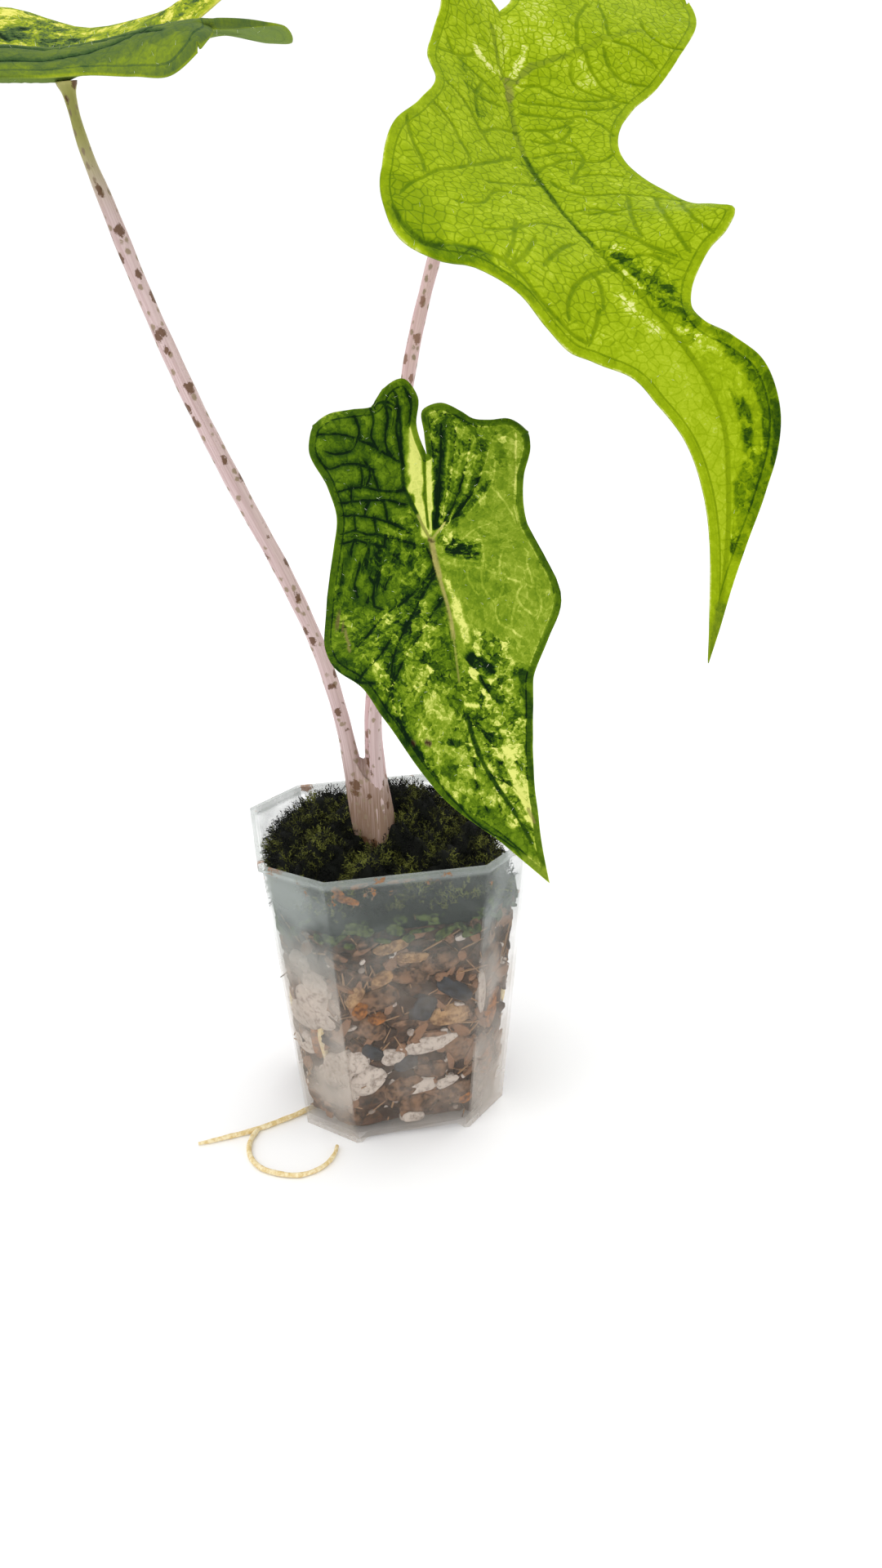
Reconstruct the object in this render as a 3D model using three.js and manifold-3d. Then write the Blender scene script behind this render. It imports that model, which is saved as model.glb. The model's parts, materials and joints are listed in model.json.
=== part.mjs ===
// Potted variegated alocasia: a clear eight-sided nursery pot with its mix, moss, rootstock,
// three leaf stalks and three arrow-shaped blades. Millimetres, +Z up, the origin in the middle
// of the pot's base, the pot's sides square to X and Y.

import * as THREE from 'three';
import { mergeVertices } from 'three/addons/utils/BufferGeometryUtils.js';
import Module from 'manifold-3d';

const wasm = await Module();
wasm.setup();

// Driving dimensions of the pot

const POT_HEIGHT = 106;
const RIM_FLATS = 90;            // across two opposite flats at the rim
const BASE_FLATS = 72.6;         // across two opposite flats at the foot
const RIM_CORNER = 18.2;         // what each corner cut takes off the side, at the rim
const BASE_CORNER = 16;
const WALL = 1.0;
const WALL_LEAN = (RIM_FLATS - BASE_FLATS) / 2 / POT_HEIGHT;
const LIP = 1.4;                 // how far the rolled rim stands out
const LIP_HEIGHT = 2.2;
const FLOOR_UNDERSIDE = 2.6;     // the floor is pressed up between the feet
const FLOOR_TOP = 3.8;
const FOOT_ARCH = 2.4;           // height of the gap between two feet
const FOOT_ARCH_HALF = 18.5;     // half its width on the ground
const CENTRE_FOOT_RADIUS = 11;
const DRAIN_RADIUS = 3;          // round ends of the drain slots
const DRAIN_HALF = 4;            // from a slot's middle to the middle of its round end
const SKIRT = 2;                 // thickness of the wall below the floor
const FOOT_ARCH_RAMP = 2.5;      // length of the sloping ends of an arch
const DRAIN_REACH = 20;          // from the middle of the floor to the middle of a slot

// Driving dimensions of what stands in the pot

const GAP = 0.3;                 // clearance between two pieces that touch
const MIX_LEVEL = 84;            // top of the mix at the wall
const MIX_CROWN = 3;             // how much higher it is in the middle
const MOSS_THICKNESS = 13;       // in the middle; it rises toward the back
const MOSS_RISE = 0.26;          // by this much for each millimetre
const MOSS_LEAST = 4;
const MOSS_MARGIN = 1.6;         // the bare strip between the moss and the wall
const TUFTS = 38;
const CORM_RADIUS = 11;
const CORM_TOP = 81.7;
const CORM_HEIGHT = 24;
const CORM_PLACE = [-3.5, 1];    // under the three stalks
const STALK_FOOT = 82;           // where the stalks stand on the corm
const BLADE = 0.8;               // blade thickness
const RIB_DEPTH = 0.9;           // how far the midrib stands out under the blade
const ROOT_SIDES = 6;
const STALK_SIDES = 10;

// Small helpers

/** Seeded random numbers from 0 to 1, the same in every run. */
function seeded(seed) {
  let state = seed;
  return () => {
    state = (state * 1664525 + 1013904223) % 4294967296;
    return state / 4294967296;
  };
}

/** Smooth curve through rows of numbers at the given knots, read at x. */
function smooth(knots, rows, x) {
  const last = knots.length - 1;
  const at = Math.min(Math.max(x, knots[0]), knots[last]);
  let i = 0;
  while (i < last - 1 && at >= knots[i + 1]) {
    i += 1;
  }
  const span = (k) => knots[k + 1] - knots[k];
  const rate = (k, c) => (rows[k + 1][c] - rows[k][c]) / span(k);
  const inside = (k, c) =>
    (rate(k - 1, c) * span(k) + rate(k, c) * span(k - 1)) / (span(k) + span(k - 1));
  const slope = (k, c) => {
    if (k === 0) {
      return 1.5 * rate(0, c) - 0.5 * inside(1, c);
    }
    if (k === last) {
      return 1.5 * rate(last - 1, c) - 0.5 * inside(last - 1, c);
    }
    return inside(k, c);
  };
  const h = span(i);
  const s = (at - knots[i]) / h;
  return rows[i].map((_, c) =>
    (2 * s ** 3 - 3 * s ** 2 + 1) * rows[i][c] + (s ** 3 - 2 * s ** 2 + s) * h * slope(i, c) +
    (-2 * s ** 3 + 3 * s ** 2) * rows[i + 1][c] + (s ** 3 - s ** 2) * h * slope(i + 1, c));
}

/** Straight-line reading of values at the given knots. */
function linear(knots, values, x) {
  const last = knots.length - 1;
  const at = Math.min(Math.max(x, knots[0]), knots[last]);
  let i = 0;
  while (i < last - 1 && at >= knots[i + 1]) {
    i += 1;
  }
  const s = (at - knots[i]) / (knots[i + 1] - knots[i]);
  return values[i] * (1 - s) + values[i + 1] * s;
}

/** Running length along a row of points, measured on their first `axes` numbers. */
function runningLength(points, axes) {
  const lengths = [0];
  for (let i = 1; i < points.length; i += 1) {
    let sum = 0;
    for (let c = 0; c < axes; c += 1) {
      sum += (points[i][c] - points[i - 1][c]) ** 2;
    }
    lengths.push(lengths[i - 1] + Math.sqrt(sum));
  }
  return lengths;
}

/** Geometry from points and triangles that share them. */
function geometryOf(points, triangles) {
  const geometry = new THREE.BufferGeometry();
  geometry.setAttribute('position', new THREE.Float32BufferAttribute(points.flat(), 3));
  geometry.setIndex(triangles.flat());
  return geometry;
}

/** Closed body through rings of equal point counts, each end closed by a fan. */
function loft(rings) {
  const n = rings[0].length;
  const points = rings.flat();
  const triangles = [];
  for (let r = 0; r < rings.length - 1; r += 1) {
    for (let i = 0; i < n; i += 1) {
      const a = r * n + i;
      const b = r * n + ((i + 1) % n);
      triangles.push([a, b, b + n], [a, b + n, a + n]);
    }
  }
  const middle = (ring) => [0, 1, 2].map((c) => ring.reduce((sum, p) => sum + p[c], 0) / n);
  const low = points.length;
  const high = low + 1;
  const top = (rings.length - 1) * n;
  points.push(middle(rings[0]), middle(rings[rings.length - 1]));
  for (let i = 0; i < n; i += 1) {
    const j = (i + 1) % n;
    triangles.push([low, j, i], [high, top + i, top + j]);
  }
  return geometryOf(points, triangles);
}

/** A three.js geometry as a solid that can be cut and joined. */
function solid(geometry) {
  const bare = new THREE.BufferGeometry();
  bare.setAttribute('position', geometry.getAttribute('position'));
  if (geometry.index) {
    bare.setIndex(geometry.index);
  }
  const merged = mergeVertices(bare, 1e-4);
  return new wasm.Manifold(new wasm.Mesh({
    numProp: 3,
    vertProperties: new Float32Array(merged.getAttribute('position').array),
    triVerts: new Uint32Array(merged.index.array),
  }));
}

/** A solid back as a three.js geometry. */
function geometryFrom(body) {
  const mesh = body.getMesh();
  const geometry = new THREE.BufferGeometry();
  geometry.setAttribute('position', new THREE.BufferAttribute(mesh.vertProperties, 3));
  geometry.setIndex(new THREE.BufferAttribute(mesh.triVerts, 1));
  return geometry;
}

/** A tube through stations [x, y, z, radius]; grow widens it, and cut is a plane it ends on. */
function tube(stations, sides, steps, grow = 0, cut = null) {
  const knots = runningLength(stations, 3);
  const total = knots[knots.length - 1];
  const rings = [];
  const place = (s) => new THREE.Vector3(...smooth(knots, stations, s));
  let across = new THREE.Vector3(1, 0, 0);
  for (let k = 0; k <= steps; k += 1) {
    const s = (total * k) / steps;
    const centre = place(s);
    const ahead = place(Math.min(s + 0.5, total)).sub(place(Math.max(s - 0.5, 0))).normalize();
    const beside = new THREE.Vector3().crossVectors(ahead, across).normalize();
    across = new THREE.Vector3().crossVectors(beside, ahead).normalize();
    const radius = smooth(knots, stations, s)[3] + grow;
    const ring = [];
    for (let i = 0; i < sides; i += 1) {
      const turn = (2 * Math.PI * i) / sides;
      const point = centre.clone()
        .addScaledVector(across, radius * Math.cos(turn))
        .addScaledVector(beside, radius * Math.sin(turn));
      if (cut && k === steps) {
        const short = cut.point.clone().sub(point).dot(cut.normal) / ahead.dot(cut.normal);
        point.addScaledVector(ahead, short);
      }
      ring.push(point.toArray());
    }
    rings.push(ring);
  }
  return loft(rings);
}

/** Eight-sided ring: a square of the given width with its corners cut off. */
function octagon(flats, corner, z) {
  const w = flats / 2;
  const c = w - corner;
  return [[c, -w], [w, -c], [w, c], [c, w], [-c, w], [-w, c], [-w, -c], [-c, -w]]
    .map(([x, y]) => [x, y, z]);
}

/** The pot's width and corner cut at a height, less a margin from its outer face. */
function potRing(z, margin) {
  const share = z / POT_HEIGHT;
  const flats = BASE_FLATS + (RIM_FLATS - BASE_FLATS) * share - 2 * margin;
  const corner = BASE_CORNER + (RIM_CORNER - BASE_CORNER) * share - (2 - Math.SQRT2) * margin;
  return octagon(flats, corner, z);
}

/** How far the pot's outer face is from the middle, in direction turn at height z. */
function potReach(z, turn) {
  const [x] = potRing(z, 0)[1];
  const [, y] = potRing(z, 0)[2];
  const slant = (x + y) / Math.SQRT2;
  const cos = Math.abs(Math.cos(turn));
  const sin = Math.abs(Math.sin(turn));
  const diagonal = Math.max((cos + sin) / Math.SQRT2, 0.01);
  return Math.min(x / Math.max(cos, 0.01), x / Math.max(sin, 0.01), slant / diagonal);
}

// The pot

/** Cutter for one drain slot that points outward. */
function drainSlot(turn) {
  const outline = new THREE.Shape();
  outline.moveTo(-DRAIN_HALF, -DRAIN_RADIUS);
  outline.lineTo(DRAIN_HALF, -DRAIN_RADIUS);
  outline.absarc(DRAIN_HALF, 0, DRAIN_RADIUS, -Math.PI / 2, Math.PI / 2, false);
  outline.lineTo(-DRAIN_HALF, DRAIN_RADIUS);
  outline.absarc(-DRAIN_HALF, 0, DRAIN_RADIUS, Math.PI / 2, 1.5 * Math.PI, false);
  const depth = 2 * FLOOR_TOP;
  const slot = new THREE.ExtrudeGeometry(outline, { depth, bevelEnabled: false, curveSegments: 4 });
  slot.translate(DRAIN_REACH, 0, 0);
  slot.rotateZ(turn);
  return solid(slot);
}

/** Cutter for the low arches in two opposite sides. */
function footArch(turn) {
  const ramp = FOOT_ARCH_HALF - FOOT_ARCH_RAMP;
  const outline = new THREE.Shape([
    new THREE.Vector2(-FOOT_ARCH_HALF, -1), new THREE.Vector2(FOOT_ARCH_HALF, -1),
    new THREE.Vector2(FOOT_ARCH_HALF, 0), new THREE.Vector2(ramp, FOOT_ARCH),
    new THREE.Vector2(-ramp, FOOT_ARCH), new THREE.Vector2(-FOOT_ARCH_HALF, 0),
  ]);
  const arch = new THREE.ExtrudeGeometry(outline, { depth: RIM_FLATS, bevelEnabled: false });
  arch.translate(0, 0, -RIM_FLATS / 2);
  arch.rotateX(Math.PI / 2);
  arch.rotateZ(turn);
  return solid(arch);
}

/** Shell with a rolled rim, a pressed-up floor, drain slots, corner feet and a middle foot. */
function makePot() {
  const lipBottom = POT_HEIGHT - LIP_HEIGHT;
  const outside = solid(loft([
    potRing(0, 0), potRing(lipBottom, 0), potRing(lipBottom + 0.6, -LIP),
    potRing(POT_HEIGHT - 0.5, -LIP), potRing(POT_HEIGHT, -LIP + 0.5),
  ]));
  const inside = solid(loft([potRing(FLOOR_TOP, WALL), potRing(POT_HEIGHT + 1, WALL)]));
  const under = solid(loft([potRing(-1, SKIRT), potRing(FLOOR_UNDERSIDE, SKIRT + 0.6)]));
  let pot = outside.subtract(inside).subtract(under);
  pot = pot.subtract(footArch(0)).subtract(footArch(Math.PI / 2));
  const disc = new THREE.CylinderGeometry(CENTRE_FOOT_RADIUS, CENTRE_FOOT_RADIUS, FLOOR_TOP, 24);
  disc.rotateX(Math.PI / 2);
  disc.translate(0, 0, FLOOR_TOP / 2);
  pot = pot.add(solid(disc));
  for (let i = 0; i < 4; i += 1) {
    pot = pot.subtract(drainSlot(Math.PI / 4 + (i * Math.PI) / 2));
    pot = pot.subtract(drainSlot((i * Math.PI) / 2));
  }
  return pot;
}

// Mix and moss, both on one polar grid so that the moss lies on the mix

const GRID_TURNS = 40;
const GRID_RINGS = 7;

/** Height of the mix's top: crowned, and rough where chips lie on it. */
function mixTop(x, y) {
  const far = Math.min(Math.hypot(x, y) / 42, 1);
  return MIX_LEVEL + MIX_CROWN * (1 - far * far) + 0.25 * Math.sin(0.41 * x + 1) * Math.cos(0.37 * y);
}

/** Height of the moss over the mix: cushions with a steep edge near the wall. */
function mossHeight(x, y, share) {
  const cushions = 2.6 * Math.sin(0.24 * x + 0.6) * Math.sin(0.21 * y + 2.1) +
    1.5 * Math.sin(0.47 * x - 0.35 * y) + 0.8 * Math.sin(0.9 * x + 0.5 * y + 2);
  const edge = Math.sqrt(Math.max(1 - share ** 6, 0));
  return Math.max(MOSS_THICKNESS + MOSS_RISE * y + cushions, MOSS_LEAST) * edge + 0.9;
}

/** Side of the mix against the wall, pressed in here and there between chips. */
function mixSide(turn, z) {
  const reach = potReach(z, turn) - WALL - GAP;
  const lumps = Math.sin(7 * turn + 0.13 * z) * Math.sin(0.21 * z + 3 * turn);
  return reach - 0.02 - 0.7 * (1 + lumps);
}

/** Body of the mix, less the room that the roots and stalks take. */
function makeMix(clear) {
  const rings = [];
  const turns = Array.from({ length: GRID_TURNS }, (_, i) => (2 * Math.PI * i) / GRID_TURNS);
  const ring = (radius, height) => turns.map((turn) => {
    const far = radius(turn);
    const x = far * Math.cos(turn);
    const y = far * Math.sin(turn);
    return [x, y, height(x, y)];
  });
  const reach = (turn) => potReach(MIX_LEVEL, turn) - WALL - MOSS_MARGIN;
  const bottom = FLOOR_TOP + GAP;
  rings.push(ring((turn) => mixSide(turn, bottom) - 1.5, () => bottom));
  const levels = 9;
  for (let k = 0; k < levels; k += 1) {
    const z = bottom + 1.5 + ((MIX_LEVEL - 4 - bottom) * k) / (levels - 1);
    rings.push(ring((turn) => mixSide(turn, z), () => z));
  }
  for (let k = GRID_RINGS; k >= 1; k -= 1) {
    rings.push(ring((turn) => (reach(turn) * k) / GRID_RINGS, mixTop));
  }
  return solid(loft(rings)).subtract(clear);
}

/** One pointed tuft, bent over at its tip. */
function tuft(x, y, z, height, radius, lean, turn) {
  const bend = [Math.cos(turn) * lean, Math.sin(turn) * lean];
  const ring = (share, width) => [0, 1, 2, 3].map((i) => {
    const angle = turn + (Math.PI / 2) * i;
    return [x + bend[0] * share * share + width * Math.cos(angle),
      y + bend[1] * share * share + width * Math.sin(angle), z + height * share];
  });
  return solid(loft([ring(0, radius), ring(0.55, radius * 0.8), ring(1, radius * 0.18)]));
}

/** Moss cushion with its tufts, less the room that the stalks take. */
function makeMoss(clear) {
  const turns = Array.from({ length: GRID_TURNS }, (_, i) => (2 * Math.PI * i) / GRID_TURNS);
  const reach = (turn) => potReach(MIX_LEVEL, turn) - WALL - MOSS_MARGIN;
  const under = (share) => turns.map((turn) => {
    const far = reach(turn) * share;
    const [x, y] = [far * Math.cos(turn), far * Math.sin(turn)];
    return [x, y, mixTop(x, y) + 2 * GAP];
  });
  const onTop = (turn, share) => {
    const far = reach(turn) * share;
    const [x, y] = [far * Math.cos(turn), far * Math.sin(turn)];
    const height = mossHeight(x, y, share);
    const spread = 1 + (WALL_LEAN * height * share) / Math.max(far, 1);
    return { place: [x * spread, y * spread, mixTop(x, y) + 2 * GAP + height], height };
  };
  const rings = [];
  for (let k = 1; k <= GRID_RINGS; k += 1) {
    rings.push(under(k / GRID_RINGS));
  }
  for (let k = GRID_RINGS; k >= 1; k -= 1) {
    const share = 1 - (1 - k / GRID_RINGS) ** 1.5;
    rings.push(turns.map((turn) => onTop(turn, share).place));
  }
  let moss = solid(loft(rings));
  const draw = seeded(41);
  for (let i = 0; i < TUFTS; i += 1) {
    const { place: [x, y, top], height } = onTop(2 * Math.PI * draw(), Math.sqrt(draw()) * 0.95);
    const tall = 4 + 3 * draw();
    const foot = top - Math.min(2, height / 2);
    moss = moss.add(tuft(x, y, foot, tall, 1.7 + draw(), 1.5 + draw(), 2 * Math.PI * draw()));
  }
  return moss.subtract(clear);
}

// Rootstock: the corm and its roots, two of which have grown out under the pot

const ROOTS = [
  // down the left side, out through the drain slot, under the foot arch and along the ground
  [[-6, 1, 62, 2.2], [-17, -1, 42, 1.8], [-21, 0.6, 22, 1.4], [-21.2, 1.2, 9, 1.1], [-21.4, 0.9, 4, 0.9],
    [-22.4, -1.2, 1.5, 0.85], [-25.6, -5.4, 1.2, 0.85], [-30.5, -10.6, 1.2, 0.9], [-37, -14.6, 1.2, 0.95],
    [-46, -18.6, 1.2, 0.95], [-56, -22, 1.2, 0.95], [-66, -23.8, 1.1, 0.85], [-75.5, -25, 0.9, 0.6]],
  // down the front left corner, in sight behind the wall
  [[-8, -4, 64, 2], [-20, -20, 56, 1.6], [-29.4, -28.6, 44, 1.3], [-27.8, -27.2, 28, 1.1],
    [-25.6, -26.4, 14, 0.8]],
  // down the right wall, in sight behind it
  [[2, -2, 64, 2.1], [20, -12, 60, 1.7], [36.6, -17, 48, 1.4], [35.6, -16, 32, 1.2], [33.6, -12, 14, 0.8]],
  // two at the back
  [[0, 8, 64, 2], [10, 24, 52, 1.5], [15, 36, 36, 1.2], [12, 33, 16, 0.8]],
  [[-8, 8, 64, 2], [-24, 16, 54, 1.5], [-36, 14, 38, 1.2], [-33, 12, 14, 0.8]],
];

// the loop on the ground: it forks from the first root and curls back to the foot
const LOOP = [[-54, -21.3, 1.2, 0.9], [-57, -27, 1.2, 0.9], [-58, -35, 1.15, 0.9], [-55, -43, 1.15, 0.9],
  [-48, -48.5, 1.15, 0.9], [-41, -50.5, 1.1, 0.85], [-34, -48, 1.1, 0.8], [-29.5, -43, 1.05, 0.75],
  [-27.6, -37.5, 1, 0.6]];

/** Corm and roots in one body; grow widens all of it, to cut room for it. */
function makeRootstock(grow) {
  const [x, y] = CORM_PLACE;
  const bulb = [[0, 0], [5.5, 1.2], [9.5, 6], [CORM_RADIUS, 14], [10, 22], [9, CORM_HEIGHT],
    [0, CORM_HEIGHT]];
  const outline = bulb.map(([r, z], i) => {
    const radius = i === 0 || i === bulb.length - 1 ? 0 : r + grow;
    const lift = i < 2 ? -grow : i > bulb.length - 3 ? grow : 0;
    return new THREE.Vector2(radius, z + lift);
  });
  const corm = new THREE.LatheGeometry(outline, 14);
  corm.rotateX(Math.PI / 2);
  corm.translate(x, y, CORM_TOP - CORM_HEIGHT);
  let body = solid(corm);
  for (const route of ROOTS) {
    const steps = Math.round(2.2 * route.length);
    body = body.add(solid(tube(route, ROOT_SIDES, steps, grow)));
  }
  return body.add(solid(tube(LOOP, ROOT_SIDES, 20, grow)));
}

// Leaf blades. A blade is laid out flat first: u runs across it, to the right when its upper
// face is seen tip down, and v runs along the midrib from the stalk joint (0) to the tip.
// A margin row is [u, v, share, lift]. The share says where the vein that ends there starts:
// 0 at the tip, 1 at the joint, 2 at the end of the lobe. The lift is how far the margin stands
// above the blade. A rib row is [x, y, z], the way the upper face looks there, and the degrees
// by which the left and the right half are folded up. The droop curls the halves down again.

const SMALL_LEAF = {
  joint: 1, droop: [0.2, 0.2], notch: -24.5, notchShare: 0.5, ribRows: 24, lobeRows: 10,
  rib: [
    [[9.8, -56.7, 253.2], [-0.18, -0.97, 0.17], [12, 12]],
    [[7.9, -66.1, 213.6], [-0.18, -0.97, 0.17], [12, 12]],
    [[11, -75, 194.5], [-0.18, -0.97, 0.17], [12, 12]],
    [[12, -81.5, 175.4], [-0.18, -0.97, 0.17], [12, 12]],
    [[16.2, -86, 157.5], [-0.18, -0.97, 0.17], [12, 12]],
    [[26.5, -90.6, 138.8], [-0.18, -0.97, 0.17], [12, 12]],
    [[33, -95, 122.4], [-0.18, -0.97, 0.17], [12, 12]],
  ],
  left: [
    [0, 101, 0, 0], [-6, 88, 0.22, 0], [-12, 71, 0.42, 0.6], [-17, 57, 0.58, -0.6], [-22, 44, 0.72, 0.5],
    [-26, 37, 0.80, 1], [-34, 30.5, 0.90, -1.2], [-35.5, 20, 0.965, -2], [-32, 8, 0.985, -0.8],
    [-27, -2, 1.0, 1], [-25, -9, 1.15, 1.5], [-27, -16, 1.4, 0.5], [-32, -25, 1.8, -1.5],
    [-31, -30.5, 2, -1.5],
  ],
  leftLobeBend: [-8, -22],
  leftSinus: [[-3, -32, 0], [-3, -39.5, 0], [-7, -43.7, 1], [-12, -41, 1], [-14.5, -36.5, 0],
    [-21, -35, -1], [-27, -33.5, -1.5]],
  right: [
    [0, 101, 0, 0], [4, 85, 0.2, 0], [7.5, 77, 0.34, 0.6], [13, 67, 0.5, 0.8], [18, 51, 0.68, -0.6],
    [21, 38, 0.8, 0.8], [25.5, 29, 0.92, 0.4], [30.5, 21, 0.965, -1.4], [29, 13, 0.985, -1.2],
    [26.5, 0, 1.0, 0.8], [26, -10, 1.2, 1.2], [26.5, -18, 1.5, 0.6], [28.2, -27, 1.85, -1.2],
    [27.5, -31, 2, -1.5],
  ],
  rightLobeBend: [7, -20],
  rightSinus: [[-0.8, -30, 0], [-1.5, -36, 0.6], [3, -38, 1.2], [9, -36, 0.6], [12, -34.3, 0],
    [17, -34, -0.8], [22, -34.5, -1.2]],
};

const LARGE_LEAF = {
  joint: 3, droop: [0.15, 0.15], notch: -31.5, notchShare: 0.4, ribRows: 34, lobeRows: 15,
  rib: [
    [[53, 60, 388], [0, -0.79, 0.62], [30, -2]],
    [[51, 38, 373], [0, -0.79, 0.62], [30, -2]],
    [[48, 15, 356], [0, -0.79, 0.62], [30, -2]],
    [[45, -4, 333], [0, -0.74, 0.68], [30, -2]],
    [[44, -26, 314], [-0.04, -0.71, 0.70], [30, -2]],
    [[47, -49, 299], [-0.1, -0.70, 0.70], [28, -2]],
    [[52, -77, 284], [-0.2, -0.75, 0.63], [26, 0]],
    [[62, -93, 269], [-0.25, -0.8, 0.54], [22, 2]],
    [[69, -102, 257], [-0.25, -0.84, 0.48], [20, 4]],
    [[72, -108, 247], [-0.22, -0.88, 0.42], [18, 5]],
    [[72, -114, 231], [-0.2, -0.92, 0.3], [16, 6]],
    [[70, -119, 212], [-0.15, -0.95, 0.25], [12, 8]],
    [[65, -124, 191], [-0.11, -0.98, 0.19], [10, 10]],
  ],
  left: [
    [0, 201, 0, 0], [-3, 185, 0.08, 0], [-4.5, 172, 0.15, 0], [-7, 158, 0.23, 0], [-12, 143, 0.33, 0],
    [-15, 134, 0.39, 0.5], [-18, 122, 0.46, 0.5], [-23, 115, 0.51, -1], [-27, 110, 0.55, -1.5],
    [-29.5, 103, 0.6, 0.5], [-31, 95, 0.65, 1.5], [-37, 88, 0.69, 0], [-45, 84.5, 0.73, -2],
    [-52, 79, 0.77, -3], [-53, 70, 0.80, -2.5], [-51, 58, 0.83, -1], [-44, 41, 0.89, 1],
    [-34, 29.5, 0.94, 1.5], [-26.5, 16, 0.98, 1.5], [-28, 5, 1.03, 0], [-25, -9, 1.12, -1],
    [-22, -21, 1.25, 0], [-25, -36, 1.45, 1.5], [-32, -48, 1.65, 0], [-38, -58, 1.85, -2],
    [-38, -66, 2, -2],
  ],
  leftLobeBend: [-5, -40],
  leftSinus: [[-4, -36, 0], [-6, -48, 0.5], [-11, -62, 1], [-19, -73, 0], [-29, -75, -1.5]],
  right: [
    [0, 201, 0, 0], [0.8, 194, 0.06, 0], [2.3, 182, 0.12, 0], [5, 171, 0.18, 0], [8.7, 160.5, 0.25, 0],
    [11.7, 151, 0.31, 1], [13.5, 142, 0.37, 2], [13.3, 133, 0.42, 2.5], [10.8, 127, 0.46, 2],
    [7.5, 119.5, 0.5, 1], [8, 114, 0.53, -0.5], [11.6, 109.5, 0.56, -1.5], [16.7, 106, 0.6, -1.5],
    [22, 103.5, 0.64, -0.5], [28.5, 102, 0.7, 0.5], [34, 98, 0.77, 1.5], [33.2, 91, 0.785, 1],
    [33.5, 76, 0.81, 0], [33, 60, 0.85, -0.5], [30.3, 50, 0.88, -0.5], [28.6, 38, 0.92, 0],
    [29.2, 26, 0.96, 1], [32.5, 14, 0.99, 1.5], [39, 1.5, 1.1, 0.5], [49.5, -13.5, 1.35, -1.5],
    [61.5, -36.5, 1.65, 0], [68, -54, 1.88, 1.5], [68, -66, 2, 1],
  ],
  rightLobeBend: [36, -22],
  rightSinus: [[3.5, -37, 0], [5, -50, 0.5], [10, -68, 2], [22, -82, 0], [38, -88, -2], [56, -82, 0]],
};

const FAR_LEAF = {
  joint: 3, droop: [0.2, 1.8], notch: -24, notchShare: 0.4, ribRows: 28, lobeRows: 20,
  rib: [
    [[-16, -9, 345.2], [0.05, -0.2, 0.98], [34, 42]],
    [[-34, -6, 342.2], [0.05, -0.2, 0.98], [34, 42]],
    [[-56, -2, 339.2], [0.03, -0.2, 0.98], [32, 41]],
    [[-79, 2, 337.2], [0, -0.19, 0.98], [25.5, 38]],
    [[-104, 6, 337.2], [-0.05, -0.2, 0.98], [27, 32]],
    [[-142, 11, 332.2], [-0.15, -0.2, 0.97], [26, 30]],
    [[-182, 15, 317.2], [-0.35, -0.2, 0.9], [18, 24]],
    [[-214, 18, 291.2], [-0.55, -0.2, 0.8], [12, 16]],
  ],
  left: [
    [0, 150, 0, 0], [-8, 132, 0.22, 0], [-17, 108, 0.42, 0.8], [-25, 86, 0.58, -0.8], [-33, 66, 0.72, 1],
    [-42, 54, 0.82, 0.5], [-50, 42, 0.92, -1], [-50, 26, 0.96, -2], [-43, 7, 0.985, -3],
    [-34, -9, 1.0, -2.8], [-32, -21, 1.2, -3.2], [-35, -34, 1.5, -3.6], [-44, -47, 1.8, -2.6],
    [-52, -58, 1.95, -1], [-55, -65, 2, 0],
  ],
  leftLobeBend: [-18, -22],
  leftSinus: [[-9, -30, 0], [-18, -39, 0], [-27, -48, 0], [-34, -56, 0], [-45, -65, 0]],
  right: [
    [0, 150, 0, 0], [7, 132, 0.22, 0], [15, 108, 0.42, 0.8], [24, 86, 0.58, 1], [33, 66, 0.72, 3],
    [42, 52, 0.82, 5.5], [49, 38, 0.92, 8], [48, 24, 0.965, 7], [43, 8, 0.985, 3], [40, -3, 1.0, -1.2],
    [39, -14, 1.2, -3.2], [42, -26, 1.5, -4], [45, -36, 1.85, -3.6], [42, -43, 2, -2],
  ],
  rightLobeBend: [16, -28],
  rightSinus: [[3, -34, 0.8], [4, -46, 1.4], [5, -58, -3.2], [9, -64, -6], [16, -63, -4.7],
    [20, -54, -3.9], [24, -46, -3.2], [33, -46, -3]],
};

/** The curved midrib and the directions across and above it, read at any place along it. */
function ribFrame(leaf) {
  const rows = leaf.rib.map(([place, facing, fold]) => [...place, ...facing, ...fold]);
  const chord = runningLength(rows, 3);
  const samples = 240;
  const fine = Array.from({ length: samples + 1 }, (_, i) => (chord[chord.length - 1] * i) / samples);
  const curve = fine.map((s) => smooth(chord, rows, s));
  const arc = runningLength(curve, 3);
  const start = linear(fine, arc, chord[leaf.joint]);
  const along = arc.map((s) => s - start);
  const read = (v) => rows[0].map((_, c) => linear(along, curve.map((row) => row[c]), v));
  return {
    length: along[samples],
    at(v) {
      const inside = Math.min(Math.max(v, along[0]), along[samples]);
      const row = read(inside);
      const before = new THREE.Vector3(...read(Math.max(inside - 1, along[0])));
      const tangent = new THREE.Vector3(...read(Math.min(inside + 1, along[samples]))).sub(before).normalize();
      const up = new THREE.Vector3(row[3], row[4], row[5]);
      up.addScaledVector(tangent, -up.dot(tangent)).normalize();
      const centre = new THREE.Vector3(row[0], row[1], row[2]).addScaledVector(tangent, v - inside);
      return { centre, up, across: new THREE.Vector3().crossVectors(up, tangent), fold: [row[6], row[7]] };
    },
  };
}

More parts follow.
